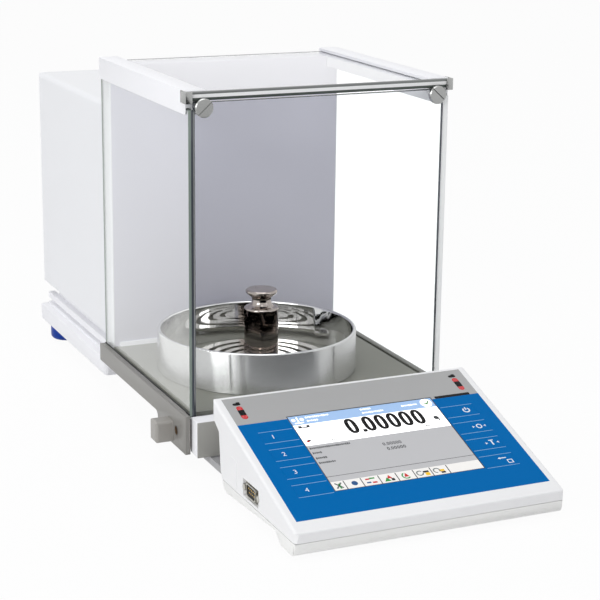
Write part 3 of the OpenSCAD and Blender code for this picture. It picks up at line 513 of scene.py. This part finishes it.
def bevelled(bm, width, segments=2, flat=False):
    """The mesh with its sharp edges rounded by a Bevel modifier."""
    mesh = bpy.data.meshes.new("bevel_work")
    bm.to_mesh(mesh)
    bm.free()
    if not flat:
        mesh.shade_smooth()
    work = new_object("bevel_work", mesh)
    rounder = work.modifiers.new("edges", "BEVEL")
    rounder.width = width * MM
    rounder.segments = segments
    rounder.limit_method = "ANGLE"
    rounder.angle_limit = SHARP_ANGLE
    rounder.use_clamp_overlap = False
    rounder.harden_normals = not flat
    ready = evaluated_mesh(work)
    bpy.data.meshes.remove(mesh)
    return ready


print("edges over", round(math.degrees(SHARP_ANGLE)), "degrees are rounded")

# %% [markdown]
# Every piece of the scene is added by one function, which gives it its materials and the body that
# it rides on, and hides the solids that it stands for.

# %% Softened copies


def add_piece(name, mesh_source, materials, body, slot, *replaced):
    """A piece made from a bmesh, or from a mesh that is ready, riding on a body."""
    if isinstance(mesh_source, bmesh.types.BMesh):
        mesh = bpy.data.meshes.new(name)
        mesh_source.to_mesh(mesh)
        mesh_source.free()
    else:
        mesh = mesh_source
        mesh.name = name
    if len(mesh.materials):
        mesh.materials.clear()
    for material in materials:
        mesh.materials.append(material)
    piece = new_object(name, mesh)
    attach(piece, body)
    if replaced:
        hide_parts(*replaced)
    return piece


def softened(node, width, materials=None, flat=False):
    ready = bevelled(joined_copy(node), width, flat=flat)
    materials = materials or [nodes[node].data.materials[0]]
    return add_piece(node + "_soft", ready, materials, body_of_node[node], slot_of_node[node], node)


SOFT_EDGES = {"top_rails": 0.4, "back_wall": 1.0, "front_sill": 1.0, "front_panel": 0.3,
              "base_plate": 0.8, "left_door_carrier": 0.3, "right_door_carrier": 0.3,
              "terminal_bottom": 0.5, "bar_brackets": 0.4}
for node, width in SOFT_EDGES.items():
    softened(node, width)
print(len(SOFT_EDGES), "pieces with softened edges")

# %% [markdown]
# ## Draft ring and wall ribs
# The ring's outside is turned: grooves too fine to see run round it, and smear each reflection into
# an upright streak. An anisotropic gloss does the same. Its inside is polished like a mirror. The
# back wall's two upright ribs are white, unlike the wall between them. On both pieces the finish of
# a face follows from where it is and which way it points.

# %% Ring and ribs
RING_SMOOTH, OUTWARD_FROM, RIB_W = math.radians(30), 0.7, 5.1
turned_outside = finish("turned_outside", (222, 222, 221), 0.23, scale=2500, stretch=AROUND,
                        metallic=1.0, mottle=0.05, spread=0.03, relief=0.003, anisotropic=1.0)
ring = add_piece("draft_ring_turned", merged_copy("draft_ring"),
                 [turned_outside, finishes["polished_aluminium"]],
                 "draft_ring", "polished_aluminium", "draft_ring")
ring.data.shade_smooth()
ring.data.set_sharp_from_angle(angle=RING_SMOOTH)
for face in ring.data.polygons:
    outward = (face.center - ring_middle).to_2d().normalized().dot(face.normal.to_2d())
    face.material_index = 0 if outward > OUTWARD_FROM else 1

wall = scene.objects["back_wall_soft"]
wall.data.materials.append(finishes["white_casting"])
rib_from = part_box("back_wall")[1].x - RIB_W * MM
for face in wall.data.polygons:
    face.material_index = int(abs(face.center.x) > rib_from)
print("ring with two finishes, and two white ribs")

# %% [markdown]
# ## Panes
# Each pane is a softened copy as well, with a narrow ground bevel. The two large faces stay clear
# and every other face takes an edge finish, found by which way a face points. The edge finishes are
# painted light for what an edge gathers from round it: painted dark on the front and top panes,
# green on the left door and painted bright on the right door. The left door's front edge is cut
# along its middle, and only its inner half takes the painted dark.

# %% Panes
GROUND_EDGE, LARGE_FACE, FACES_FRONT = 0.4, 0.95, -0.6
clear = finishes["pane_glass"]
PANES = {"front_glass": (1, coated_glass, edge_painted_dark), "top_glass": (2, top_clear, edge_painted_dark),
         "left_door_glass": (0, clear, edge_green_painted_light), "right_door_glass": (0, clear, edge_painted_bright)}
for node, (thin_axis, glass, edge) in PANES.items():
    pane = softened(node, GROUND_EDGE, [glass, edge], flat=True)
    for face in pane.data.polygons:
        face.material_index = 0 if abs(face.normal[thin_axis]) > LARGE_FACE else 1

left_pane = scene.objects["left_door_glass_soft"]
left_pane.data.materials.append(edge_painted_dark)
pane_low, pane_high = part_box("left_door_glass")
# Painted shade: only the inner half of the left door's front edge takes the painted dark edge.
painted_dark_from = (pane_low.x + pane_high.x) / 2
cut = bmesh.new()
cut.from_mesh(left_pane.data)
bmesh.ops.bisect_plane(cut, geom=cut.verts[:] + cut.edges[:] + cut.faces[:],
                       plane_co=(painted_dark_from, 0, 0), plane_no=(1, 0, 0))
for face in cut.faces:
    if face.normal.y < FACES_FRONT and face.calc_center_median().x > painted_dark_from:
        face.material_index = 2
cut.to_mesh(left_pane.data)
cut.free()
print(len(PANES), "panes")

# %% [markdown]
# ## Ruler for the sloped panel
# Film, keys and screen all lie on one sloped plane. A key's own joint points into that plane, so the
# plane's directions are read from it. From here a place on the panel is three plain numbers in
# millimetres: u to the right, v down the slope from the film's upper edge, and a height.

# %% Panel directions
SAME_HEIGHT = 0.02
panel_up = -Vector(joints["left_key_1_press"]["axis"]).normalized()
panel_down = Vector((0, -panel_up.z, panel_up.y))


def reach(node, direction):
    """The nearest and farthest point of a solid along a direction, in millimetres."""
    places = [vertex.co.dot(direction) / MM for vertex in nodes[node].data.vertices]
    return min(places), max(places)


film_edge = reach("panel_overlay", panel_down)[0]
film_top = reach("panel_overlay", panel_up)[1]
screen_top = reach("display", panel_up)[1]
on_screen = [vertex.co / MM for vertex in nodes["display"].data.vertices
             if vertex.co.dot(panel_up) / MM > screen_top - SAME_HEIGHT]
screen_left = min(point.x for point in on_screen)
screen_edge = min(point.dot(panel_down) for point in on_screen) - film_edge


def panel_point(u, v, height):
    return (Vector((u, 0, 0)) + panel_down * (film_edge + v) + panel_up * height) * MM


print("film's top at", round(film_top, 2), "and the screen's at", round(screen_top, 2))

# %% [markdown]
# ## Outlines and prints
# A print is a coat of ink a few hundredths of a millimetre thick. Each one is a closed slab over an
# outline, so it has real sides and is never a bare sheet. A ring, such as a nought, is a slab
# between two outlines.

# %% Slabs and outlines


def slab(bm, outer, inner, low, high, place):
    """A closed slab over an outline, or between an outer and an inner outline."""
    loops = []
    for outline in (outer, inner) if inner else (outer,):
        loops.append([[bm.verts.new(place(u, v, h)) for u, v in outline] for h in (low, high)])
    count = len(outer)
    for index in range(count):
        after = (index + 1) % count
        for under, over in loops:
            bm.faces.new((under[index], under[after], over[after], over[index]))
        if inner:
            for outside, inside in zip(*loops):
                bm.faces.new((outside[index], outside[after], inside[after], inside[index]))
    if not inner:
        for loop in loops[0]:
            bm.faces.new(loop)


def box_outline(u0, v0, u1, v1):
    return [(u0, v0), (u1, v0), (u1, v1), (u0, v1)]


def oval(u, v, half_u, half_v, power=2.0, count=28):
    """A rounded outline: power 2 is an ellipse, and more than 2 is squarer."""
    points = []
    for step in range(count):
        angle = 2 * math.pi * step / count
        across, down = math.cos(angle), math.sin(angle)
        points.append((u + half_u * math.copysign(abs(across) ** (2 / power), across),
                       v + half_v * math.copysign(abs(down) ** (2 / power), down)))
    return points


def arc_band(u, v, inner, outer, first, last, count=18):
    angles = [math.radians(first + (last - first) * step / count) for step in range(count + 1)]
    points = [(u + outer * math.cos(a), v + outer * math.sin(a)) for a in angles]
    return points + [(u + inner * math.cos(a), v + inner * math.sin(a)) for a in reversed(angles)]


print("an ellipse has", len(oval(0, 0, 1, 1)), "corners")

# %% [markdown]
# Where one solid wears several colours it is cut across and its faces are numbered by band.

# %% Prints and bands
INK = 0.02


def printed(name, shapes, low, ink, body="base", slot="panel_blue", thick=INK, place=panel_point):
    """One mesh of slabs; a shape is an outline, or a pair of an outer and an inner one."""
    bm = bmesh.new()
    for shape in shapes:
        outer, inner = shape if isinstance(shape, tuple) else (shape, None)
        slab(bm, outer, inner, low, low + thick, place)
    bmesh.ops.recalc_face_normals(bm, faces=bm.faces)
    add_piece(name, bm, [ink], body, slot)


def banded(bm, direction, cuts):
    """Cuts a mesh across a direction, at places in millimetres, and numbers its faces by band."""
    for cut in cuts:
        everything = bm.verts[:] + bm.edges[:] + bm.faces[:]
        bmesh.ops.bisect_plane(bm, geom=everything, plane_co=direction * cut * MM, plane_no=direction)
    for face in bm.faces:
        middle = face.calc_center_median().dot(direction)
        face.material_index = sum(middle > cut * MM for cut in cuts)
    return bm


def print_ink(name, color, rough):
    return finish(name, color, rough, scale=2400, relief=0.0, specular=0.1)


ink_pale = print_ink("ink_pale", (132, 178, 220), 0.4)
ink_white = print_ink("ink_white", (236, 242, 250), 0.4)
ink_black = print_ink("ink_black", (16, 16, 17), 0.35)
print("3 inks,", INK, "mm thick")

# %% [markdown]
# ## Film and keys
# One polyester film is printed grey above and blue below, and glued over the terminal's face. Its
# keys are areas of the same film over domes. In the frame each key is a solid of its own with room
# around it, and here its cap is drawn out almost to the film, so that only the printed lines show
# where it is.

# %% Film, sensors and key caps
BAND_END, RED_END, CAP_GROWTH = 32.3, 4.6, 0.22
panel_grey = finish("panel_grey", (170, 170, 170), 0.4, scale=2400, relief=0.02)
film = banded(merged_copy("panel_overlay"), panel_down, [film_edge + BAND_END])
add_piece("film", film, [panel_grey, finishes["panel_blue"]], "base", "panel_blue", "panel_overlay")

sensor_span = reach("sensor_windows", panel_down)
sensor_cuts = [sensor_span[0] + RED_END, sensor_span[1] - RED_END]
red_lens = finish("red_lens", (206, 28, 36), 0.15, scale=2400, relief=0.01, coat_weight=0.2)
windows = banded(merged_copy("sensor_windows"), panel_down, sensor_cuts)
add_piece("sensors", windows, [red_lens, ink_black, red_lens], "base", "sensor_red", "sensor_windows")

for node in sorted(nodes):
    if "_key_" not in node:
        continue
    cap = merged_copy(node)
    for direction in (Vector((1, 0, 0)), panel_down):
        low, high = reach(node, direction)
        growth = 2 * CAP_GROWTH / (high - low)
        for vertex in cap.verts:
            offset = vertex.co.dot(direction) - (low + high) / 2 * MM
            vertex.co += direction * offset * growth
    add_piece(node + "_cap", cap, [finishes["panel_blue"]], body_of_node[node], "panel_blue", node)
print("film, sensors and key caps")

# %% [markdown]
# Above each sensor a small dark sign of two ovals is printed, and a plain black strip lies at the
# right, where the grey band ends.

# %% Prints on the grey band
SENSOR_U, PALM_V, FINGER_V = 88.8, 10.4, 12.2
STRIP_FROM, STRIP_TO, STRIP_ABOVE, STRIP_BELOW = 62.0, 91.5, 2.8, 0.2
sensor_v = sum(sensor_span) / 2 - film_edge
hand_signs = []
for side in (-SENSOR_U, SENSOR_U):
    hand_signs.append(oval(side - 0.4, sensor_v - PALM_V, 3.0, 1.5, 3))
    hand_signs.append(oval(side + 1.0, sensor_v - FINGER_V, 1.6, 0.7))
printed("sensor_signs", hand_signs, film_top, ink_black)
strip = box_outline(STRIP_FROM, BAND_END - STRIP_ABOVE, STRIP_TO, BAND_END + STRIP_BELOW)
printed("black_strip", [strip], film_top, ink_black)
print(len(hand_signs), "ovals and a strip")

# %% [markdown]
# ## Signs on the keys
# Each sign rides on its own key, so that it goes down with it. The left keys carry plain numerals,
# made from text and turned into a mesh before they are placed. The right keys carry four common
# pictograms: a power ring, a nought between arrows, a bar between arrows and a printed sheet.

# %% Numerals and pictograms
LEFT_SIGN_U, RIGHT_SIGN_U, NUMERAL_SIZE, NUMERAL_MERGE = -77.6, 78.8, 6.2, 0.001


def numeral(name, text, u, v, low, body):
    curve = bpy.data.curves.new(name, "FONT")
    curve.body = text
    curve.size = NUMERAL_SIZE * MM
    curve.align_x = "CENTER"
    curve.align_y = "CENTER"
    curve.extrude = INK / 2 * MM
    curve.resolution_u = 4
    ready = evaluated_mesh(new_object(name + "_work", curve))
    turn = Matrix((Vector((1, 0, 0)), -panel_down, panel_up)).transposed().to_4x4()
    ready.transform(Matrix.Translation(panel_point(u, v, low + INK / 2)) @ turn)
    bm = bmesh.new()
    bm.from_mesh(ready)
    bmesh.ops.remove_doubles(bm, verts=bm.verts, dist=NUMERAL_MERGE * MM)
    bmesh.ops.recalc_face_normals(bm, faces=bm.faces)
    add_piece(name, bm, [ink_white], body, "panel_blue")


def arrow(u, v, size):
    """A small triangle; a negative size points left."""
    return [(u, v - abs(size) * 0.6), (u + size, v), (u, v + abs(size) * 0.6)]


def pictogram(index, u, v):
    arrows = [arrow(u - 5.4, v, 1.9), arrow(u + 5.4, v, -1.9)]
    if index == 1:
        return [arc_band(u, v, 1.9, 3.0, -55, 235), box_outline(u - 0.5, v - 3.4, u + 0.5, v - 0.4)]
    if index == 2:
        return [(oval(u, v, 2.4, 2.6), oval(u, v, 1.5, 1.7))] + arrows
    if index == 3:
        upright = box_outline(u - 0.6, v - 2.6, u + 0.6, v + 2.6)
        return [upright, box_outline(u - 1.9, v - 3.4, u + 1.9, v - 2.5)] + arrows
    outside = box_outline(u + 0.4, v + 0.2, u + 4.8, v + 4.4)
    sheet = (outside, box_outline(u + 1.1, v + 0.9, u + 4.1, v + 3.7))
    return [sheet, arrow(u - 3.6, v - 2.2, -2.0), box_outline(u - 3.5, v - 2.7, u + 1.2, v - 1.7)]


for number in (1, 2, 3, 4):
    left, right = f"left_key_{number}", f"right_key_{number}"
    key_v = sum(reach(left, panel_down)) / 2 - film_edge
    key_top = reach(left, panel_up)[1]
    numeral(f"numeral_{number}", str(number), LEFT_SIGN_U, key_v, key_top, left)
    printed(f"pictogram_{number}", pictogram(number, RIGHT_SIGN_U, key_v), key_top, ink_white, right)
print("4 numerals and 4 pictograms")

# %% [markdown]
# ## Rows of copies
# Printed key lines, the contacts of a port and its screws are one small shape repeated in straight
# rows. A Geometry Nodes tree does that: rows of rows of rows of a pattern, made real and given their
# material. It could also be loops in this script, but the tree keeps the counts and steps apart from
# the shape, so that either can be changed alone.

# %% Tree for copies
LEVELS = ("Row", "Column", "Block")
GEOMETRY = "NodeSocketGeometry"
copier = bpy.data.node_groups.new("stepped_copies", "GeometryNodeTree")
for label, kind in (("Geometry", GEOMETRY), ("Pattern", "NodeSocketObject"), ("Start", VECTOR)):
    copier.interface.new_socket(label, in_out="INPUT", socket_type=kind)
for level in LEVELS:
    copier.interface.new_socket(level + " Count", in_out="INPUT", socket_type="NodeSocketInt")
    copier.interface.new_socket(level + " Step", in_out="INPUT", socket_type=VECTOR)
copier.interface.new_socket("Material", in_out="INPUT", socket_type="NodeSocketMaterial")
copier.interface.new_socket("Geometry", in_out="OUTPUT", socket_type=GEOMETRY)
given = copier.nodes.new("NodeGroupInput")
pattern_info = copier.nodes.new("GeometryNodeObjectInfo")
link(copier, (given.outputs["Pattern"], pattern_info.inputs["Object"]))
copies = pattern_info.outputs["Geometry"]
for level in LEVELS:
    line = copier.nodes.new("GeometryNodeMeshLine")
    spread = copier.nodes.new("GeometryNodeInstanceOnPoints")
    link(copier, (given.outputs[level + " Count"], line.inputs["Count"]),
         (given.outputs[level + " Step"], line.inputs["Offset"]),
         (line.outputs[0], spread.inputs["Points"]), (copies, spread.inputs["Instance"]))
    if level == LEVELS[-1]:
        link(copier, (given.outputs["Start"], line.inputs["Start Location"]))
    copies = spread.outputs[0]
real = copier.nodes.new("GeometryNodeRealizeInstances")
coloured = copier.nodes.new("GeometryNodeSetMaterial")
result = copier.nodes.new("NodeGroupOutput")
link(copier, (copies, real.inputs[0]), (real.outputs[0], coloured.inputs["Geometry"]),
     (given.outputs["Material"], coloured.inputs["Material"]), (coloured.outputs[0], result.inputs[0]))
print("tree", copier.name, "takes", len(copier.interface.items_tree) - 1, "inputs")

# %% [markdown]
# The tree runs on an empty mesh, with the pattern as an object beside it. Its result becomes a plain
# mesh, and both helpers are removed.

# %% Use of the tree


def stepped_copies(name, pattern, start, rows, material, slot):
    """Copies of a bmesh in up to three rows of rows; each row is a count and a step."""
    shape = bpy.data.meshes.new(name + "_pattern")
    pattern.to_mesh(shape)
    pattern.free()
    template = new_object(name + "_pattern", shape)
    work = new_object(name + "_work", bpy.data.meshes.new(name + "_work"))
    values = {"Pattern": template, "Start": start, "Material": material}
    for level, (count, step) in zip(LEVELS, list(rows) + [(1, (0, 0, 0))] * len(LEVELS)):
        values[level + " Count"] = count
        values[level + " Step"] = step
    maker = work.modifiers.new("copies", "NODES")
    maker.node_group = copier
    for socket in copier.interface.items_tree:
        if socket.in_out == "INPUT" and socket.name in values:
            maker[socket.identifier] = values[socket.name]
    ready = evaluated_mesh(work)
    bpy.data.objects.remove(template)
    add_piece(name, ready, [material], "base", slot)


print("levels:", ", ".join(LEVELS))

# %% [markdown]
# ## Key lines and contacts
# The film shows each key as two thin lines, one above and one below it. The terminal's side port has
# nine contacts in two staggered rows. A contact is a turned shape: a profile carried round an axis.
# The screws of the rear ports, further down, are turned as well, with six flats.

# %% Key lines
LINE_OFFSET, LINE_WIDTH, LINE_FROM, LINE_TO = 6.62, 0.5, 60.2, 86.6
key_v = sum(reach("left_key_1", panel_down)) / 2 - film_edge
key_step = (sum(reach("left_key_2", panel_down)) - sum(reach("left_key_1", panel_down))) / 2
line_v = key_v - LINE_OFFSET
stroke = bmesh.new()
slab(stroke, box_outline(-LINE_TO, line_v - LINE_WIDTH / 2, -LINE_FROM, line_v + LINE_WIDTH / 2), None,
     film_top, film_top + INK, panel_point)
bmesh.ops.recalc_face_normals(stroke, faces=stroke.faces)
stepped_copies("key_lines", stroke, (0, 0, 0),
               [(2, panel_down * 2 * LINE_OFFSET * MM), (4, panel_down * key_step * MM),
                (2, ((LINE_FROM + LINE_TO) * MM, 0, 0))], ink_pale, "panel_blue")
print("key lines", round(key_step, 2), "mm apart")

# %% [markdown]
# A contact has a straight shank and a narrower tip, and starts a little inside the port.

# %% Contacts


def turned(profile, turn, segments=18, hexagon=()):
    """A closed shape from (radius, height) rings; rings listed as hexagon get six flats."""
    bm = bmesh.new()
    loops = []
    for index, (radius, height) in enumerate(profile):
        loop = []
        for step in range(segments):
            angle = 2 * math.pi * step / segments
            flat = math.cos(math.pi / 6) / math.cos(angle % (math.pi / 3) - math.pi / 6)
            far = radius * (flat if index in hexagon else 1) * MM
            point = Vector((far * math.cos(angle), far * math.sin(angle), height * MM))
            loop.append(bm.verts.new(turn @ point))
        loops.append(loop)
    for under, over in zip(loops, loops[1:]):
        for step in range(segments):
            after = (step + 1) % segments
            bm.faces.new((under[step], under[after], over[after], over[step]))
    bm.faces.new(loops[0])
    bm.faces.new(loops[-1])
    bmesh.ops.recalc_face_normals(bm, faces=bm.faces)
    return bm


PIN_PITCH, PIN_ROW, PIN_SEGMENTS = 2.77, 2.84, 10
PIN_PROFILE = [(0.5, -0.4), (0.5, 0.25), (0.32, 0.45)]
to_left = Matrix.Rotation(math.radians(-90), 3, "Y")
port_low, port_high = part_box("data_port_insert")
port_middle = (port_low + port_high) / 2
brass_pin = finish("brass_pin", (196, 164, 96), 0.25, metallic=1.0, mottle=0.1)
for name, count, rise in (("upper_contacts", 5, 0.5), ("lower_contacts", 4, -0.5)):
    start = Vector((port_low.x, port_middle.y - PIN_PITCH * (count - 1) / 2 * MM,
                    port_middle.z + PIN_ROW * rise * MM))
    pin = turned(PIN_PROFILE, to_left, PIN_SEGMENTS)
    stepped_copies(name, pin, start, [(count, (0, PIN_PITCH * MM, 0))], brass_pin, "port_metal")
print("contacts", PIN_PITCH, "mm apart")

# %% [markdown]
# ## Screen
# The screen is a colour panel behind the film's window: a light blue title strip, a white field
# with the reading, a grey list and a row of buttons. The reading is plain noughts. Lines that would
# be words on a real screen are rows of short strokes, so nothing is spelled out. The inks glow a
# little, as a lit screen does.

# %% Screen fields
SCREEN_W, SCREEN_H, BEZEL, LAYER = -2 * screen_left, 88.6, 0.8, 0.03
TITLE_END, READING_END, LIST_END = 11.5, 36.0, 78.3
RIGHT = SCREEN_W - BEZEL


def on_glass(u, v, height):
    """A place on the screen, counted from its upper left corner."""
    return panel_point(screen_left + u, screen_edge + v, height)


def lit(name, color, glow_strength):
    return finish(name, color, 0.35, scale=2400, relief=0.0, mottle=0.02, specular=0.1,
                  glow_strength=glow_strength)


def shown(name, shapes, ink, layer=0):
    printed(name, shapes, screen_top + LAYER * layer, ink, slot="display_grey", thick=LAYER,
            place=on_glass)


screen_white = lit("screen_white", (250, 250, 250), 0.9)
screen_grey = lit("screen_grey", (188, 188, 190), 0.14)
screen_dark = lit("screen_dark", (70, 72, 74), 0.05)
screen_blue = lit("screen_blue", (158, 188, 226), 0.25)
screen_pale = lit("screen_pale", (226, 224, 221), 0.3)
shown("title_strip", [box_outline(BEZEL, BEZEL, RIGHT, TITLE_END)], screen_blue)
shown("reading_field", [box_outline(BEZEL, TITLE_END, RIGHT, READING_END)], screen_white)
shown("list_field", [box_outline(BEZEL, READING_END, RIGHT, LIST_END)], screen_grey)
shown("button_row", [box_outline(BEZEL, LIST_END, RIGHT, SCREEN_H - BEZEL)], screen_pale)
print("screen", round(SCREEN_W, 1), "by", SCREEN_H, "mm in 4 fields")

# %% [markdown]
# The reading's noughts are squarish rings, narrower than they are tall. Strokes of uneven height
# stand for small print.

# %% Reading and small print
MAIN_SIZE = dict(width=8.8, height=17.6, pitch=10.05, stroke=3.2)
SMALL_SIZE = dict(width=1.9, height=3.3, pitch=2.4, stroke=0.55)
DECIMALS, FIRST_DECIMAL = 5, 1.38
STROKE_W, STROKE_HEIGHTS, STROKE_GAPS = 1.0, (1.0, 0.7, 0.85, 0.65, 1.0), (0.45, 0.5, 0.4)


def nought(u, v, width, height, stroke):
    outer = oval(u + width / 2, v + height / 2, width / 2, height / 2, 2.5)
    inner = oval(u + width / 2, v + height / 2, width / 2 - stroke, height / 2 - stroke * 0.85, 2.3)
    return outer, inner


def reading(u, v, width, height, pitch, stroke):
    """A nought, a point and the decimals, noughts as well."""
    dot = u + width + 0.42 * (pitch - width) + 0.16 * width
    shapes = [nought(u, v, width, height, stroke)]
    shapes.append(box_outline(dot, v + height - stroke, dot + stroke, v + height))
    first = u + FIRST_DECIMAL * pitch
    return shapes + [nought(first + pitch * step, v, width, height, stroke) for step in range(DECIMALS)]


def strokes(u0, u1, v, height=2.2):
    """Uneven short strokes that look like a line of small print."""
    shapes = []
    u = u0
    step = 0
    while u + STROKE_W < u1:
        tall = height * STROKE_HEIGHTS[step % len(STROKE_HEIGHTS)]
        shapes.append(box_outline(u, v - tall / 2, u + STROKE_W, v + tall / 2))
        u += STROKE_W + STROKE_GAPS[step % len(STROKE_GAPS)]
        step += 1
    return shapes


screen_black = lit("screen_black", (12, 12, 13), 0.0)
shown("main_reading", reading(38.9, 11.9, **MAIN_SIZE), screen_black, 1)
small = reading(56.5, 44.4, **SMALL_SIZE) + reading(57.5, 50.0, **SMALL_SIZE)
for v, end in ((39.5, 34.5), (45.0, 9.5), (51.0, 11.5), (56.5, 15.5)):
    small += strokes(2.0, end, v)
small += strokes(22.0, 26.0, 33.2, 1.2) + strokes(98.0, 104.0, 32.4, 1.6)
small += [box_outline(28, 33.6, 97, 34.0), box_outline(BEZEL, 72.2, RIGHT, 72.6)]
small += [oval(110.6, 24.6, 2.0, 2.2), box_outline(111.6, 24.6, 112.7, 28.6)]
small += [box_outline(4.0, 14.6, 12.5, 15.6), oval(5.2, 13.8, 1.5, 1.2), oval(11.6, 13.8, 1.4, 1.2)]
shown("small_print", small, screen_dark, 1)
print("reading, and", len(small), "shapes of small print")

# %% [markdown]
# The title strip has a small balance sign, lines of small print and a tick in a disc. The buttons
# have edges between them and small signs in six plain colours.

# %% Title and buttons
EDGE_PLACES, EDGE_W, EDGE_GAP = (9.9, 23, 36.5, 50, 63.7, 77, 90.3), 0.7, 0.4
edges = [box_outline(u, LIST_END + EDGE_GAP, u + EDGE_W, SCREEN_H - BEZEL) for u in EDGE_PLACES]
shown("button_edges", edges, screen_dark, 1)

title = [box_outline(6.4, 2.4, 7.4, 9.0), box_outline(3.4, 8.6, 10.4, 9.8), oval(3.6, 5.4, 1.5, 1.6)]
title += [oval(10.2, 5.4, 1.5, 1.6)] + strokes(13.5, 33, 3.8, 1.8) + strokes(13.5, 23, 8.0, 1.8)
title += strokes(58, 67, 3.4, 1.8) + strokes(58, 76, 7.6, 1.8) + strokes(91, 105, 5.8, 1.8)
shown("title_signs", title + [oval(111.4, 6.0, 4.6, 4.9)], screen_white, 1)
tick = [(109.2, 5.8), (110.4, 5.0), (111.3, 6.6), (113.6, 3.4), (114.3, 4.2), (111.5, 8.6)]
shown("title_tick", [tick], lit("screen_tick", (84, 140, 78), 0.2), 2)

ICONS = {
    "screen_red": ((198, 58, 56), [
        box_outline(26.4, 80.3, 29.6, 81.7), box_outline(30.4, 84.4, 34.0, 86.0),
        [(42.4, 83.6), (44.4, 79.8), (46.4, 83.6)], [(57.4, 80.2), (59.4, 84.6), (55.6, 84.6)],
        oval(4.4, 31.2, 1.2, 1.1)]),
    "screen_green": ((58, 146, 74), [
        box_outline(29.6, 79.9, 33.6, 81.3), [(39.6, 86.4), (42.2, 82.2), (44.6, 86.4)],
        arc_band(57.2, 83.4, 2.4, 3.4, 40, 250), box_outline(5.4, 81, 6.6, 86.6)]),
    "screen_indigo": ((46, 84, 132), [
        oval(17.4, 83.0, 2.3, 2.4), box_outline(26.2, 84.0, 29.4, 85.4)]),
    "screen_amber": ((240, 192, 44), [
        box_outline(72.0, 83.4, 75.4, 86.6), box_outline(83.6, 82.4, 87.4, 84.6)]),
    "screen_slate": ((104, 112, 112), [
        [(2.6, 80.6), (3.6, 79.9), (8.4, 85.6), (7.4, 86.3)],
        [(7.4, 79.9), (8.4, 80.6), (3.6, 86.3), (2.6, 85.6)],
        arc_band(68.2, 83.2, 1.9, 2.8, 0, 320), arc_band(81.6, 83.0, 1.9, 2.8, 90, 400)]),
    "screen_coal": ((34, 34, 36), [
        box_outline(71.0, 81.4, 75.4, 83.2), box_outline(84.2, 84.8, 87.6, 86.6),
        oval(5.6, 30.4, 1.6, 0.9), box_outline(45.2, 83.8, 47.6, 86.4)]),
}
for name, (color, shapes) in ICONS.items():
    shown(name, shapes, lit(name, color, 0.15), 1)
print("title, and", len(ICONS), "colours of button signs")

# %% [markdown]
# ## Bar and screws
# A steel bar holds the front pane's upper edge, and its edges are rounded. Its colour is painted
# light in three bands, as a rounded polished bar would mirror them: a painted dark reflection below,
# a painted highlight along the middle and painted shade on top. Each port in the rear recess is
# held by two hexagon screws.

# %% Bar and screws
PAINTED_DARK_H, PAINTED_HIGHLIGHT_H, BAR_ROUND = 2.2, 2.5, 0.7
UP = Vector((0, 0, 1))
bar_low = reach("top_bar", UP)[0]
rounded = bevelled(joined_copy("top_bar"), BAR_ROUND, segments=3)
bar = bmesh.new()
bar.from_mesh(rounded)
bpy.data.meshes.remove(rounded)
banded(bar, UP, [bar_low + PAINTED_DARK_H, bar_low + PAINTED_DARK_H + PAINTED_HIGHLIGHT_H])
# Painted light: the dark lower band is a painted reflection, the white middle a painted highlight and the grey top
# painted shade.
bar_painted_dark_reflection = finish("bar_painted_dark_reflection", (66, 74, 70), 0.35, scale=1800, mottle=0.1)
bar_painted_highlight = finish("bar_painted_highlight", (244, 244, 244), 0.3, stretch=ALONG_X, mottle=0.04)
bar_painted_shade = finish("bar_painted_shade", (120, 123, 122), 0.3, stretch=ALONG_X, metallic=0.6, mottle=0.08)
add_piece("bar_bands", bar, [bar_painted_dark_reflection, bar_painted_highlight, bar_painted_shade], "base", "steel", "top_bar")

PORT_MIDDLES, SCREW_SPAN, PORT_HEIGHT = (-10.4, 26.0), 25.0, 83.0
SCREW_PROFILE = [(2.6, 0), (2.6, 3.0), (2.2, 3.5), (1.3, 3.5), (1.2, 1.0)]
to_rear = Matrix.Rotation(math.radians(-90), 3, "X")
recess_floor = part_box("rear_ports")[0].y
stepped_copies("port_screws", turned(SCREW_PROFILE, to_rear, hexagon=(0, 1, 2)),
               ((PORT_MIDDLES[0] - SCREW_SPAN / 2) * MM, recess_floor, PORT_HEIGHT * MM),
               [(2, (SCREW_SPAN * MM, 0, 0)), (2, ((PORT_MIDDLES[1] - PORT_MIDDLES[0]) * MM, 0, 0))],
               finishes["port_metal"], "port_metal")
print("bar in 3 bands, and 4 screws")

# %% [markdown]
# ## Patch and skirting
# The terminal's left wall has a low moulded patch that shows faintly. A thin white strip closes the
# joint between the back wall and the chamber floor. Both are slabs, as the prints are, on rulers of
# their own.

# %% Patch and skirting
PATCH_Y, PATCH_Z, PATCH_HALF_Y, PATCH_HALF_Z = -191.5, 25.0, 7.5, 11.0
PATCH_SUNK, PATCH_THICK, PATCH_SQUARE, PATCH_CORNERS = 0.1, 0.4, 9, 40
terminal_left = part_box("terminal_top")[0].x / MM


def wall_point(u, v, height):
    """A place on the terminal's left wall: u along Y, v up and a height off the wall."""
    return Vector((terminal_left - height, u, v)) * MM


patch = oval(PATCH_Y, PATCH_Z, PATCH_HALF_Y, PATCH_HALF_Z, PATCH_SQUARE, PATCH_CORNERS)
printed("wall_patch", [patch], -PATCH_SUNK, finishes["terminal_white"], slot="terminal_white",
        thick=PATCH_THICK, place=wall_point)

RING_GAP = 0.3
SKIRTING = [(0.2, 0.1), (0.2, 3.6), (-1.0, 3.6), (-2.2, 0.1)]
floor_top = ring_low.z - RING_GAP * MM
wall_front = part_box("back_wall")[0].y


def wall_foot_point(u, v, height):
    """A place at the back wall's foot: u along Y from the wall, v off the floor, height along X."""
    return Vector((height * MM, wall_front + u * MM, floor_top + v * MM))


rib_inner = rib_from / MM
printed("wall_skirting", [SKIRTING], -rib_inner, finishes["white_casting"], slot="white_casting",
        thick=2 * rib_inner, place=wall_foot_point)
print("a patch, and a skirting", round(2 * rib_inner, 1), "mm long")
